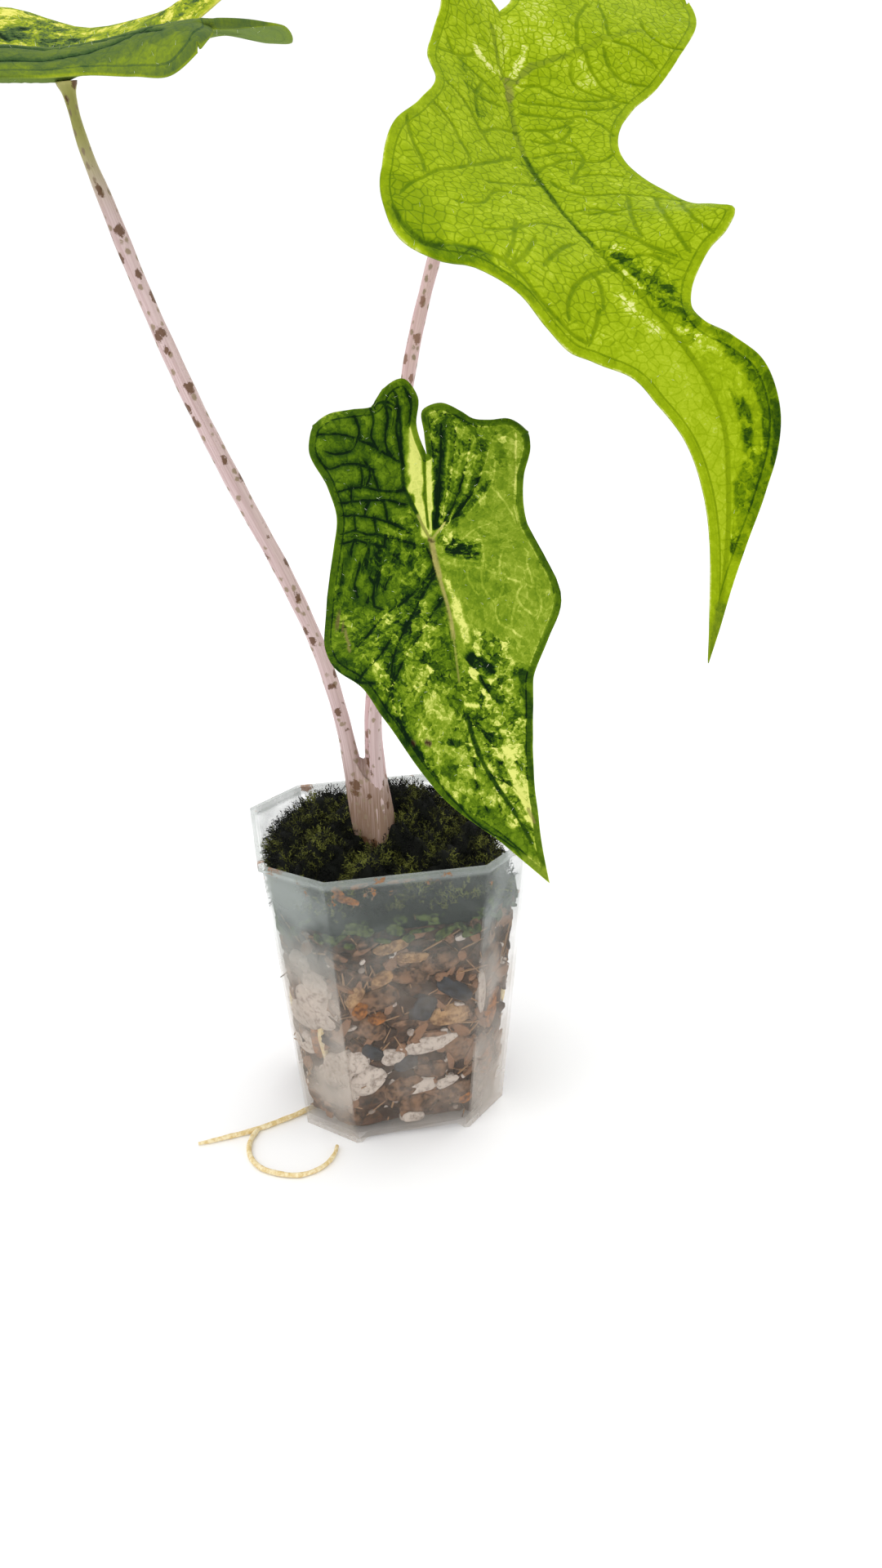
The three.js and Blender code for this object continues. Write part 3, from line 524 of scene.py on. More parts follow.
@dataclass(frozen=True)
class LeafSkin:
    """Living alocasia leaf, waxy and finely bullate, with chimeral (mosaic) variegation.

    The mosaic shows as torn specks and patches of different greens, cut by the veins, and the
    wax gives a soft broad sheen. Tones run from 0 (darkest) to 1 (cream).
    """

    name: str
    greens: tuple[tuple[float, str], ...]
    tans: tuple[str, str] = ("#2b1408", "#a39b58")
    back: str = "#7d9448"
    cell: float = 2.3  # mm between the fine veins
    net: float = 0.3  # how much the fine veins show
    vein_dark: float = -0.2  # tone that a vein adds in a dark zone
    vein_light: float = 0.15  # and in a light one
    border: float = 1.9  # mm from the margin to the vein that follows it
    drawn_width: float = 0.34  # half width in mm of the listed veins
    drawn_gain: float = 1.1
    pale_gain: float = 0.12
    dome_shading: float = 0.16  # painted shade and highlight of the bullate cells: tone gained between the laid veins in dark zones, and lost beside them
    gloss: float = 0.5
    shine: float = 0.08

    def make(self) -> Material:
        """Builds the material; it reads the attributes that a blade stores on its vertices."""
        made, node = new_material(self.name)
        net, zone, streak, away, signed = (
            node(ATTRIBUTE, attribute_name=label).outputs["Vector"]
            for label in ("net", "zone", "streak", "away", "signed")
        )
        inside, under = (
            node(ATTRIBUTE, attribute_name=label).outputs["Fac"] for label in ("inside", "under")
        )
        tone, mottle, tan = node(SPLIT, (zone,)).outputs

        # cells of one kind keep together, at three sizes, and their patches are torn
        torn = node(NOISE, {"Vector": net, "Scale": 0.9, "Detail": 4.0}).outputs["Color"]
        loose = node(VECTOR, (torn, (2.2, 2.2, 0), net), **FUSED)
        grain = node(NOISE, {"Vector": net, "Scale": 1.6, "Detail": 6.0, "Roughness": 0.7})
        streaks = node(NOISE, {"Vector": streak, "Scale": 1.0, "Detail": 3.0})
        parts = [(grain, 0.9), (streaks, 1.1)]
        sizes = ((net, 1 / self.cell, 0.46), (loose, 1.15, 0.8), (loose, 0.3, 0.8))
        for place, scale, weight in sizes:
            cells = node(CELLS, {"Vector": place, "Scale": scale}, voronoi_dimensions="2D")
            parts.append((cells.outputs["Color"], weight))
        mosaic = -2.03  # brings the sum's middle to 0
        for part, weight in parts:
            mosaic = node(MATH, (part, weight, mosaic), **FUSED)
        shade = node(MATH, (mosaic, mottle, tone), **FUSED)
        shade = node(MATH, (grain, 0.16, shade), **FUSED)

        # the fine net, the vein that follows the margin, and the listed veins: their
        # signed distance gives a sharp line, and the plain one keeps it from showing midway
        web = node(
            CELLS,
            {"Vector": net, "Scale": 1 / self.cell},
            voronoi_dimensions="2D",
            feature="DISTANCE_TO_EDGE",
        )
        web = node(RANGE, (web, 0.015, 0.12, self.net, 0.0), **SOFT)
        edge = node(SPLIT, (away,)).outputs[2]
        follow = node(MATH, (edge, self.border, 0.22), operation="COMPARE")
        sharp = node(VECTOR, (signed,), operation="ABSOLUTE")
        guard = node(VECTOR, (away, (0.7, 0.7, 0)), operation="SUBTRACT")
        lines = node(SPLIT, (node(VECTOR, (sharp, guard), operation="MAXIMUM"),)).outputs
        thin, wide = self.drawn_width * 0.4, self.drawn_width * 1.2
        laid, pale = (
            node(RANGE, (lines[k], thin, wide, gain, 0.0), **SOFT)
            for k, gain in enumerate((self.drawn_gain, self.pale_gain))
        )
        vein = node(MATH, (web, inside), operation="MULTIPLY")
        for more in (follow, laid):
            vein = node(MATH, (vein, more), operation="MAXIMUM")
        shift = node(RANGE, (shade, 0.42, 0.72, self.vein_dark, self.vein_light), **SOFT)
        shade = node(MATH, (vein, shift, shade), **FUSED)
        shade = node(MATH, (shade, pale), operation="ADD")

        browned = node(STOPS, (shade,), ramp=((0, self.tans[0]), (0.75, self.tans[1])))
        green = node(STOPS, (shade,), ramp=self.greens)
        rough = (grain, 0.2, 0.8, self.gloss - 0.06, self.gloss + 0.1)
        inputs = {
            "Base Color": layered(node, green, (tan, browned), (under, self.back)),
            "Roughness": node(RANGE, rough),
            "IOR": 1.42,
            "Specular IOR Level": self.shine,
        }
        end_material(node, inputs, (node(MATH, (vein, -1.2, grain), **FUSED), 0.00012, 0.6))
        return made


@dataclass(frozen=True)
class StalkSkin:
    """Fleshy leaf stalk: thin waxy skin, pale pink, with short brown bars and fine streaks."""

    name: str
    flesh: str = "#d3bcbb"
    streak: str = "#b59796"
    bar: str = "#64462f"
    blush: str = "#94816b"
    top: str = "#b0ab68"
    foot: str = "#8d7361"

    def make(self) -> Material:
        """Builds the material; it reads the stalk's (length along, way round) in mm."""
        made, node = new_material(self.name)
        place = node(ATTRIBUTE, attribute_name="stalk").outputs["Vector"]
        share = node(ATTRIBUTE, attribute_name="share").outputs["Fac"]
        # bars: one for every cell of 7 x 5 mm, frayed, and paler ones of half the size
        frayed = node(NOISE, {"Vector": place, "Scale": 0.6, "Detail": 5.0, "Roughness": 0.75})
        marks = []
        for size, low, high in (((0.14, 0.2, 0.2), 0.52, 0.6), ((0.27, 0.36, 0.36), 0.48, 0.64)):
            cell = node(MAPPING, {0: place, "Scale": size})
            cell = node(CELLS, {"Vector": cell, "Scale": 1.0})
            away = node(MATH, (frayed, 0.6, cell.outputs["Distance"]), **FUSED)
            marks.append(node(RANGE, (away, low, high, 0.92, 0.0), **SOFT))
        thin = node(MAPPING, {0: place, "Scale": (0.04, 1.9, 1.9)})
        lines = node(NOISE, {"Vector": thin, "Scale": 1.0, "Detail": 3.0})
        lines = node(RANGE, (lines, 0.4, 0.72, 0.0, 0.7))
        high = node(RANGE, (share, 0.86, 0.96, 0.0, 1.0), **SOFT)
        low = node(RANGE, (share, 0.08, 0.27, 0.92, 0.0), **SOFT)
        low = node(MATH, (lines, 0.4, low), **FUSED)
        low = node(MATH, (low, low), operation="MULTIPLY", use_clamp=True)
        covers = ((lines, self.streak), (high, self.top), (low, self.foot),
                  (marks[1], self.blush), (marks[0], self.bar))
        inputs = {
            "Base Color": layered(node, self.flesh, *covers),
            "Roughness": 0.42,
            "IOR": 1.42,
            "Specular IOR Level": 0.2,
        }
        end_material(node, inputs, (lines, 0.0002, 0.5))
        return made


@dataclass(frozen=True)
class ClearPlastic:
    """Thin vacuum-formed clear polystyrene, a little hazed, with dried splashes on the rim."""

    name: str = "clear_polystyrene_formed"
    haze: tuple[str, str] = ("#cbc1b6", "#a9b0ac")  # low where the mix dries, and high
    splash: str = "#8d5a28"

    def make(self) -> Material:
        """Builds the material: see-through with a pale haze, gloss and orange-brown flecks."""
        made, node = new_material(self.name)
        where = node("ShaderNodeTexCoord").outputs
        place = where["Object"]
        z = node(SPLIT, (place,)).outputs[2]
        nx, ny, _ = node(SPLIT, (where["Normal"],)).outputs
        haze, mist_and_light = (
            node(NOISE, {"Vector": place, "Scale": scale, "Detail": 5.0})
            for scale in (55.0, 38.0)
        )
        flecks = node(NOISE, {"Vector": place, "Scale": 120.0, "Detail": 6.0, "Roughness": 0.75})
        # the wall is drawn out mistier over the slanted corners, which are also hazed paler as
        # painted light where they catch the light; it is thicker at rim and foot
        slant = node(MATH, (nx, ny), operation="MULTIPLY")
        slant = node(MATH, (slant, slant), operation="MULTIPLY")
        near_rim = node(RANGE, (z, 0.09, 0.1045, 0.0, 0.09))
        flecks = node(MATH, (flecks, near_rim), operation="ADD")
        cover, mist_and_light, slant, rim, foot, damp, flecks = (
            node(RANGE, spans, **SOFT)
            for spans in (
                (haze, 0.35, 0.75, 0.04, 0.15),
                (mist_and_light, 0.38, 0.62, 0.04, 0.36),
                (slant, 0.1, 0.22, 0.0, 1.0),
                (z, 0.1022, 0.1036, 0.0, 0.24),
                (z, 0.0, 0.006, 0.2, 0.0),
                (z, 0.074, 0.1, 0.0, 0.06),
                (flecks, 0.66, 0.72, 0.0, 0.9),
            )
        )
        # painted light: the mist on the slanted corners also stands for the light that they catch
        cover = node(MATH, (slant, mist_and_light, cover), **FUSED)
        for more in (rim, foot, damp):
            cover = node(MATH, (cover, more), operation="ADD")
        covers = ((node(RANGE, (z, 0.06, 0.085)), self.haze[1]), (flecks, self.splash))
        inputs = {
            "Base Color": layered(node, self.haze[0], *covers),
            "Alpha": node(MATH, (cover, flecks), operation="MAXIMUM"),
            "Roughness": 0.2,
            "IOR": 1.5,
            "Specular IOR Level": 0.35,
        }
        end_material(node, inputs)
        return made


@dataclass(frozen=True)
class CrumbSkin:
    """Rough, dry or damp natural crumb: bark, pumice, charcoal, fibre, moss or root skin.

    Two colours broken by noise; the noise also roughens the surface.
    """

    name: str
    dark: str
    light: str
    grain: float  # mm
    rough: float = 0.9
    bump: float = 0.5  # mm
    spread: tuple[float, float] = (0.35, 0.65)

    def make(self) -> Material:
        """Builds the material; pieces made of many bits vary from bit to bit."""
        made, node = new_material(self.name)
        place = node("ShaderNodeTexCoord").outputs["Object"]
        scale = 1000 / self.grain
        noise = node(NOISE, {"Vector": place, "Scale": scale, "Detail": 6.0, "Roughness": 0.65})
        bit = node(ATTRIBUTE, attribute_name="bit").outputs["Fac"]
        both = node(MATH, (bit, 0.35, noise), **FUSED)
        both = node(RANGE, (both, *self.spread), **SOFT)
        inputs = {
            "Base Color": layered(node, self.dark, (both, self.light)),
            "Roughness": self.rough,
            "Specular IOR Level": 0.25,
        }
        end_material(node, inputs, (noise, self.bump * MM, 0.8))
        return made


# The camera, floor and light


@dataclass
class Studio:
    """Camera at the photograph's angle, plain pale floor and soft light."""

    place: tuple[float, float, float] = (-52.54, -397.04, 271.0)
    ahead: tuple[float, float, float] = (0.1689, 0.9201, -0.3535)
    side: tuple[float, float, float] = (0.9836, -0.1805, 0.0)
    roll: float = -1.74  # degrees
    focal: float = 1500.0  # in pixels of the 1080 x 1920 picture
    long_side: float = 1920.0
    sensor: float = 36.0
    floor_half: float = 6000.0
    surround: float = 1.06  # strength
    lamps: tuple = (  # name, place in metres, size, power
        ("lamp_high", (-0.5, -0.5, 1.5), 1.6, 8.0),
        ("lamp_back", (0.9, 0.9, 1.1), 1.2, 4.0),
    )
    aim: tuple[float, float, float] = (0, 0, 0.2)

    def camera(self) -> None:
        """Makes the scene's camera."""
        data = bpy.data.cameras.new("camera")
        data.sensor_width = self.sensor
        data.lens = self.sensor * self.focal / self.long_side
        data.clip_start, data.clip_end = 0.01, 20
        ahead, side = Vector(self.ahead).normalized(), Vector(self.side).normalized()
        up = side.cross(ahead)
        turn = math.radians(self.roll)
        right = side * math.cos(turn) + up * math.sin(turn)
        top = up * math.cos(turn) - side * math.sin(turn)
        rows = [(right[k], top[k], -ahead[k], self.place[k] * MM) for k in range(3)]
        made = new_object("camera", data)
        made.matrix_world = Matrix(rows + [(0, 0, 0, 1)])
        bpy.context.scene.camera = made

    def floor(self) -> None:
        """Makes the plain pale floor."""
        corners = np.array([(-1, -1, 0), (1, -1, 0), (1, 1, 0), (-1, 1, 0)])
        made = mesh_object("floor", corners * self.floor_half, [(0, 1, 2, 3)], flat=True)
        finish, node = new_material("studio_paper_matte")
        end_material(node, {"Base Color": "#fcfcfd", "Roughness": 1.0, "Specular IOR Level": 0.0})
        made.data.materials.append(finish)

    def light(self) -> None:
        """Makes the even white surround and two soft lamps."""
        world = bpy.data.worlds.new("surround")
        world.use_nodes = True
        colour, strength = world.node_tree.nodes["Background"].inputs[:2]
        colour.default_value, strength.default_value = srgb("#ffffff"), self.surround
        bpy.context.scene.world = world
        for name, place, size, power in self.lamps:
            data = bpy.data.lights.new(name, "AREA")
            data.size, data.energy = size, power
            lamp = new_object(name, data)
            lamp.location = place
            way = Vector(self.aim) - lamp.location
            lamp.rotation_euler = way.to_track_quat("-Z", "Y").to_euler()
        bpy.context.scene.view_settings.view_transform = "Standard"

    def build(self) -> None:
        """Makes all of it."""
        self.camera()
        self.floor()
        self.light()


# Leaf blades


@dataclass
class Blade:
    """A leaf blade, laid out flat first as in the part's source.

    u runs across it, to the right when its upper face is seen tip down, and v runs along the
    midrib from the stalk joint (0) to the tip. The margin, rib and sinus tables are the source's.
    """

    name: str
    node: str
    slot: str
    skin: LeafSkin
    joint: int  # the rib's row that is the stalk joint
    droop: tuple[float, float]  # of the left and the right half, degrees for each mm
    notch: float  # v where the lobes part
    notch_share: float
    rib: Table  # x, y, z, the upper face's direction, fold of the left and the right half
    left: Table  # margin: u, v, share, lift
    left_bend: tuple[float, float]  # of the lobe's rib
    left_sinus: Table  # u, v, lift
    right: Table
    right_bend: tuple[float, float]
    right_sinus: Table
    base: tuple[float, float, float, float]  # tone and mottle of the left and the right half
    strokes: Table  # soft marks (u, v) to (u, v), half width, tone, mottle, tan where it has any
    dark_veins: Table = field(default_factory=list)  # sunk veins, each as u, v, u, v ...
    pale_veins: Table = field(default_factory=list)
    border_tone: tuple[float, float] = (0.3, 0.24)  # of the band outside the last vein
    border_cover: float = 0.8
    hairs: float = 26000.0  # for each square metre
    edge_strokes: Table = field(default_factory=list)  # strokes laid over the border
    rows: int = 150
    lobe_rows: int = 90
    columns: int = 56
    inner_columns: int = 20
    thick: float = 0.8
    rim: float = 0.12  # half the thickness at the margin
    rib_depth: float = 0.9
    rib_half: float = 1.2
    relief: float = 0.13  # mm that the cells between the fine veins stand up
    groove: float = 0.3  # mm that the laid veins lie in
    fan_step: float = 5.0  # mm between laterals at the margin
    net_end: float = 1000.0  # v from which the fine net fades toward the tip
    seed: int = 1

    def __post_init__(self) -> None:
        """Works out the curved midrib."""
        rows = np.array(self.rib, float)
        chord = running(rows[:, :3])
        fine = np.linspace(0, chord[-1], 241)
        self.curve = smooth(chord, rows, fine)
        arc = running(self.curve[:, :3])
        self.along = arc - np.interp(chord[self.joint], fine, arc)
        self.length = self.along[-1]

    def read(self, v: Array) -> Array:
        """The midrib table at each v."""
        return np.stack([np.interp(v, self.along, c) for c in self.curve.T], -1)

    def place(self, u: Array, v: Array, lift: Array) -> Array:
        """Place in space of points (u, v) of the flat blade, lifted off it."""
        inside = np.clip(v, self.along[0], self.along[-1])
        row = self.read(inside)
        fore = self.read(np.minimum(inside + 1, self.along[-1]))[:, :3]
        aft = self.read(np.maximum(inside - 1, self.along[0]))[:, :3]
        tangent = unit(fore - aft)
        up = row[:, 3:6]
        up = unit(up - (up * tangent).sum(1, keepdims=True) * tangent)
        right = u > 0
        fold = np.where(right, row[:, 7], row[:, 6])
        droop = np.where(right, self.droop[1], self.droop[0])
        angle = np.radians(fold - droop * np.abs(u) / 2)
        sideways = np.cross(up, tangent) * (u * np.cos(angle))[:, None]
        raised = up * (np.abs(u) * np.sin(angle) + lift)[:, None]
        return row[:, :3] + tangent * (v - inside)[:, None] + sideways + raised

    def side_rows(self, side: Side) -> tuple[Array, tuple[float, float], Array]:
        """Margin table, lobe bend and sinus table of one half."""
        if side is Side.LEFT:
            return np.array(self.left, float), self.left_bend, np.array(self.left_sinus, float)
        return np.array(self.right, float), self.right_bend, np.array(self.right_sinus, float)

    def rib_point(self, side: Side, share: Array) -> Array:
        """Point of the midrib (share 0 to 1) or of a lobe's rib (share 1 to 2)."""
        rows, bend, _ = self.side_rows(side)
        q = np.clip(share - 1, 0, 1)[:, None]
        curved = 2 * q * (1 - q) * np.array(bend) + q * q * rows[-1, :2]
        straight = np.stack([0 * share, self.length * (1 - share)], -1)
        return np.where((share <= 1)[:, None], straight, curved)

    def margin(self, side: Side, share: Array, inner: bool) -> tuple[Array, Array]:
        """Margin rows [u, v, lift] at each share, and the running length along the margin."""
        rows, _, sinus = self.side_rows(side)
        if not inner:
            arc = running(rows[:, :2])
            at = np.interp(share, rows[:, 2], arc)
            return smooth(arc, rows[:, [0, 1, 3]], at), at
        q = share - 1
        table = np.vstack([[0, self.notch, 0], sinus, rows[-1, [0, 1, 3]]])
        arc = running(table[:, :2])
        free = np.clip((q - self.notch_share) / (1 - self.notch_share), 0, 1) * arc[-1]
        closed = q <= self.notch_share
        middle = np.stack([0 * q, self.notch * q / self.notch_share, 0 * q], -1)
        at = np.where(closed, -self.notch * q / self.notch_share, free - self.notch)
        return np.where(closed[:, None], middle, smooth(arc, table, free)), at

    def strip(self, side: Side, inner: bool) -> tuple[Array, Array]:
        """One strip of the sheet, from the rib to a margin.

        Args:
            side: Which half.
            inner: The strip toward the sinus rather than the outer one.

        Returns:
            Points [u, v, lift, share, fan], and quads that face the upper side.
        """
        high = np.linspace(1, 2, self.lobe_rows + 1)
        shares = high if inner else np.concatenate([np.linspace(0, 1, self.rows + 1), high[1:]])
        count = self.inner_columns if inner else self.columns
        t = np.linspace(0, 1, count + 1)[:, None]
        rib = self.rib_point(side, shares)[:, None, :]
        edge, at = (row[:, None] for row in self.margin(side, shares, inner))
        uv = blend(t, rib, edge[..., :2])
        lift = edge[..., 2:] * t**1.7
        more = (np.broadcast_to(c, lift.shape) for c in (shares[:, None, None], at[..., None]))
        grid = np.concatenate([uv, lift, *more], axis=2)
        grid[..., 4] /= self.fan_step
        n = count + 1
        r, c = np.meshgrid(np.arange(len(shares) - 1), np.arange(count), indexing="ij")
        a = (r * n + c).ravel()
        quads = np.stack([a, a + 1, a + n + 1, a + n], -1)
        return grid.reshape(-1, 5), quads[:, ::-1] if (side is Side.LEFT) != inner else quads

    def sheet(self) -> tuple[Array, list]:
        """The blade's middle surface: welded rows [u, v, lift, share, fan], and faces."""
        rows, faces = joined([self.strip(side, inner) for side in Side for inner in (False, True)])
        key = np.round(rows[:, :2] * 1000).astype(np.int64)
        _, first, back = np.unique(key, axis=0, return_index=True, return_inverse=True)
        welded = (list(dict.fromkeys(face)) for face in back.ravel()[np.array(faces)].tolist())
        return rows[first], [face for face in welded if len(face) > 2]

    def outline(self) -> Array:
        """The whole margin as close points (u, v)."""
        outer, inner = np.linspace(0, 2, 900), np.linspace(1 + self.notch_share, 2, 400)
        return np.vstack(
            [
                self.margin(side, shares, shares is inner)[0][:, :2]
                for side in Side
                for shares in (outer, inner)
            ]
        )

    def ribs(self) -> Array:
        """The midrib and the lobes' ribs as close points (u, v)."""
        return np.vstack([self.rib_point(side, np.linspace(0, 2, 500)) for side in Side])

    def beside(self, u: Array, v: Array, veins: Table) -> tuple[Array, Array]:
        """Distance from each place to the nearest of some veins, in mm.

        Args:
            u: Across the blade.
            v: Along it.
            veins: The veins; each wavers a little and thins toward its end.

        Returns:
            The distances, none over 9, and the same with a sign for the side of the vein.
        """
        best, sign = np.full(len(u), 9.0), np.ones(len(u))
        waver, thinning, reach = 0.3, 0.13, 3
        x = u + waver * ripple(u, v, 3, self.seed + 12)
        y = v + waver * ripple(u, v, 3, self.seed + 13)
        for vein in veins:
            bends = np.array(vein, float).reshape(-1, 2)
            knots = running(bends)
            fine = smooth(knots, bends, np.linspace(0, knots[-1], 6 * len(bends)))
            low, high = fine.min(0) - reach, fine.max(0) + reach
            near = (x > low[0]) & (x < high[0]) & (y > low[1]) & (y < high[1])
            px, py, least, side = x[near], y[near], best[near], sign[near]
            for k, (a, b) in enumerate(zip(fine[:-1], fine[1:])):
                way = b - a
                s = ((px - a[0]) * way[0] + (py - a[1]) * way[1]) / max(way @ way, 1e-9)
                s = np.clip(s, 0, 1)
                away = np.hypot(px - a[0] - s * way[0], py - a[1] - s * way[1])
                away += thinning * k / len(fine)
                turned = np.sign((px - a[0]) * way[1] - (py - a[1]) * way[0])
                side = np.where(away < least, turned, side)
                least = np.minimum(least, away)
            best[near], sign[near] = least, side
        return best, best * sign

    def paint(self, u: Array, v: Array, edge: Array) -> Array:
        """Tone, mottle and tan at each place, from the two halves' base and the strokes."""
        right = ramp(-0.5, 0.5, u + 0.6 * ripple(u, v, 4, self.seed + 5))
        zone = [blend(right, self.base[k], self.base[k + 2]) for k in (0, 1)] + [0 * u]
        wander = ripple(u, v, 6, self.seed + 1), ripple(u, v, 6, self.seed + 2)
        ragged = 0.4 * ripple(u, v, 2.4, self.seed + 14)

        def lay(cover: Array, *aims: Array | float) -> None:
            """Lays one mark over what is there."""
            for k, aim in enumerate(aims):
                zone[k] = blend(cover, zone[k], aim)

        def draw(strokes: Table) -> None:
            """Lays strokes, the wide ones with a ragged edge."""
            for u0, v0, u1, v1, width, *aims in strokes:
                shift = min(1.3, 0.5 * max(width - 0.8, 0))
                x, y = u + shift * wander[0], v + shift * wander[1]
                du, dv = u1 - u0, v1 - v0
                s = ((x - u0) * du + (y - v0) * dv) / max(du * du + dv * dv, 1e-9)
                s = np.clip(s, 0, 1)
                away = np.hypot(x - u0 - s * du, y - v0 - s * dv)
                cover = ramp(1.15, 0.55, away / width + (ragged if width > 1.2 else 0))
                lay(cover, *(*aims, 0)[:3])

        draw(self.strokes)
        border = self.skin.border
        band = self.border_cover * ramp(border + 0.1, border - 0.5, edge)
        band *= 0.8 + 0.2 * ripple(u, v, 12, self.seed + 9)
        lay(band, blend(right, *self.border_tone), 0.12)
        draw(self.edge_strokes)
        return np.stack(zone, -1)

    def build(self) -> Object:
        """Builds the closed blade: both faces, the edge, and the marks that the finish reads."""
        rows, faces = self.sheet()
        u, v, lift, share, fan = rows.T
        edge = nearest(rows[:, :2], self.outline())
        rib = nearest(rows[:, :2], self.ribs())
        points = self.place(u, v, lift)
        normals = sheet_normals(points, faces)
        inside = ramp(1.2, 2.4, edge) * (1 - 0.65 * ramp(self.net_end, self.net_end + 35, v))
        dark, dark_signed = self.beside(u, v, self.dark_veins)
        pale, pale_signed = self.beside(u, v, self.pale_veins)

        # the rib thins toward the tip and the lobes' ends, and the sheet toward its margin
        taper = np.where(share < 1, 0.25 + 0.75 * share, 1.4 - 0.6 * share)
        under = self.rib_depth * taper * hump(rib / self.rib_half)
        half = self.rim + (self.thick / 2 - self.rim) * ramp(-0.6, 0.9, edge)
        # laid veins, ribs and the vein along the margin are sunk, and what lies between swells
        relief = -self.groove * (1 - ramp(0.0, 1.0, dark)) + 0.14 * ramp(0.6, 2.2, dark) * inside
        relief += -0.18 * hump(rib / 0.9)
        relief += 0.12 * ripple(u, v, 7, self.seed + 4) * inside
        relief -= 0.15 * (1 - ramp(0.0, 0.6, np.abs(edge - 1.9))) * ramp(0.6, 1.6, edge)
        upper = points + normals * (half + relief)[:, None]
        lower = points + normals * (relief - half - under)[:, None]
        n = len(points)
        closed = [*faces, *[[i + n for i in reversed(f)] for f in faces]]
        edges = {pair for f in faces for pair in zip(f, [*f[1:], f[0]])}
        closed += [[j, i, i + n, j + n] for i, j in edges if (j, i) not in edges]
        made = mesh_object(self.name + "_sheet", np.vstack([upper, lower]), closed)

        flat = 0 * u
        warp = 0.9 * np.stack([*(ripple(u, v, 8, self.seed + k) for k in (6, 7)), flat], -1)
        fan = fan + 0.13 * ripple(u, v, 9, self.seed + 3)
        zone = self.paint(u, v, edge)
        # painted shade and highlight of the bullate cells: in dark zones, lighter between the laid
        # veins and darker right beside them
        painted_dome = self.skin.dome_shading * (ramp(0.3, 1.9, dark) - 0.6) * ramp(0.62, 0.4, zone[:, 0])
        zone[:, 0] += painted_dome * inside + 0.22 * ramp(0.3, 0.05, edge) - 0.08
        for label, values in (
            ("net", np.stack([u, v, flat], -1) + warp),
            ("zone", zone),
            ("streak", np.stack([1.7 * fan, 0.07 * rib, flat], -1)),
            ("away", np.stack([dark, pale, edge], -1)),
            ("signed", np.stack([dark_signed, pale_signed, flat], -1)),
            ("out", normals),
            ("inside", inside),
        ):
            mark(made, label, np.concatenate([values, values]))
        mark(made, "under", np.repeat([0.0, 0.55], n))
        return made

    def make(self, relief: GrowTree, hairs: GrowTree, hair_finish: Material) -> None:
        """Builds the blade and its hairs and dresses both.

        Args:
            relief: The tree that raises the cells between the veins.
            hairs: The tree that sets the hairs.
            hair_finish: The hairs' material.
        """
        sheet, finish = self.build(), self.skin.make()
        sizes = {"Cell": self.skin.cell, "Relief": self.relief * MM, "Material": finish}
        blade = relief.grow(sheet, self.name, **sizes)
        dress(blade, finish, self.slot, self.node)
        drop(sheet)
        sizes = {"Density": self.hairs, "Seed": self.seed, "Material": hair_finish}
        dress(hairs.grow(blade, self.name + "_hairs", **sizes), hair_finish, self.slot)


def relief_tree() -> GrowTree:
    """Tree that raises the little cells between the fine veins along the sheet's normal."""
    grow = GrowTree("bullate_relief", Cell="Float", Relief="Float")
    net, inside, out = (
        grow.put("GeometryNodeInputNamedAttribute", {"Name": label}, data_type=kind)
        for label, kind in (("net", "FLOAT_VECTOR"), ("inside", "FLOAT"), ("out", "FLOAT_VECTOR"))
    )
    scale = grow.put(MATH, (1.0, grow.size("Cell")), operation="DIVIDE")
    web = grow.put(
        CELLS,
        {"Vector": net, "Scale": scale},
        voronoi_dimensions="2D",
        feature="DISTANCE_TO_EDGE",
    )
    high = grow.put(RANGE, (web, 0.0, 0.4, -0.6, 0.4), **SOFT)
    for factor in (grow.size("Relief"), inside):
        high = grow.put(MATH, (high, factor), operation="MULTIPLY")
    offset = grow.put(VECTOR, {0: out, "Scale": high}, operation="SCALE")
    grow.end(grow.put("GeometryNodeSetPosition", {0: grow.start, "Offset": offset}))
    return grow


def hair_tree() -> GrowTree:
    """Tree that sets short tapering hairs on a blade, leaning at random."""
    grow = GrowTree("leaf_hairs", Density="Float", Seed="Int")
    sizes = {"Vertices": 3, "Radius Top": 0.00001, "Radius Bottom": 0.00004, "Depth": 0.0011}
    hair = grow.put("GeometryNodeMeshCone", sizes, fill_type="NGON")
    grow.scatter(hair, ((-0.9, -0.9, -3.0), (0.9, 0.9, 3.0)), 5)
    return grow


SMALL_GREENS = (
    (0.0, "#041c04"), (0.14, "#1a3604"), (0.28, "#2f4b04"), (0.42, "#486404"), (0.56, "#607c10"),
    (0.68, "#768e1b"), (0.8, "#90a432"), (0.9, "#b1be53"), (1.0, "#d7db74"),
)
# the large blade: its own yellow-green, painted brighter as it looks with light shining through it
# from behind
LARGE_GREENS_BACKLIT = (
    (0.0, "#203c08"), (0.2, "#3c5604"), (0.4, "#5b7704"), (0.58, "#778e06"), (0.74, "#8ba20c"),
    (0.86, "#a2b622"), (1.0, "#d6d98c"),
)
FAR_GREENS = (
    (0.0, "#0b2408"), (0.2, "#354f28"), (0.3, "#4b6130"), (0.4, "#5c702a"), (0.5, "#6f8324"),
    (0.6, "#82951f"), (0.75, "#9eab28"), (0.9, "#c4c44a"), (1.0, "#dbd669"),
)

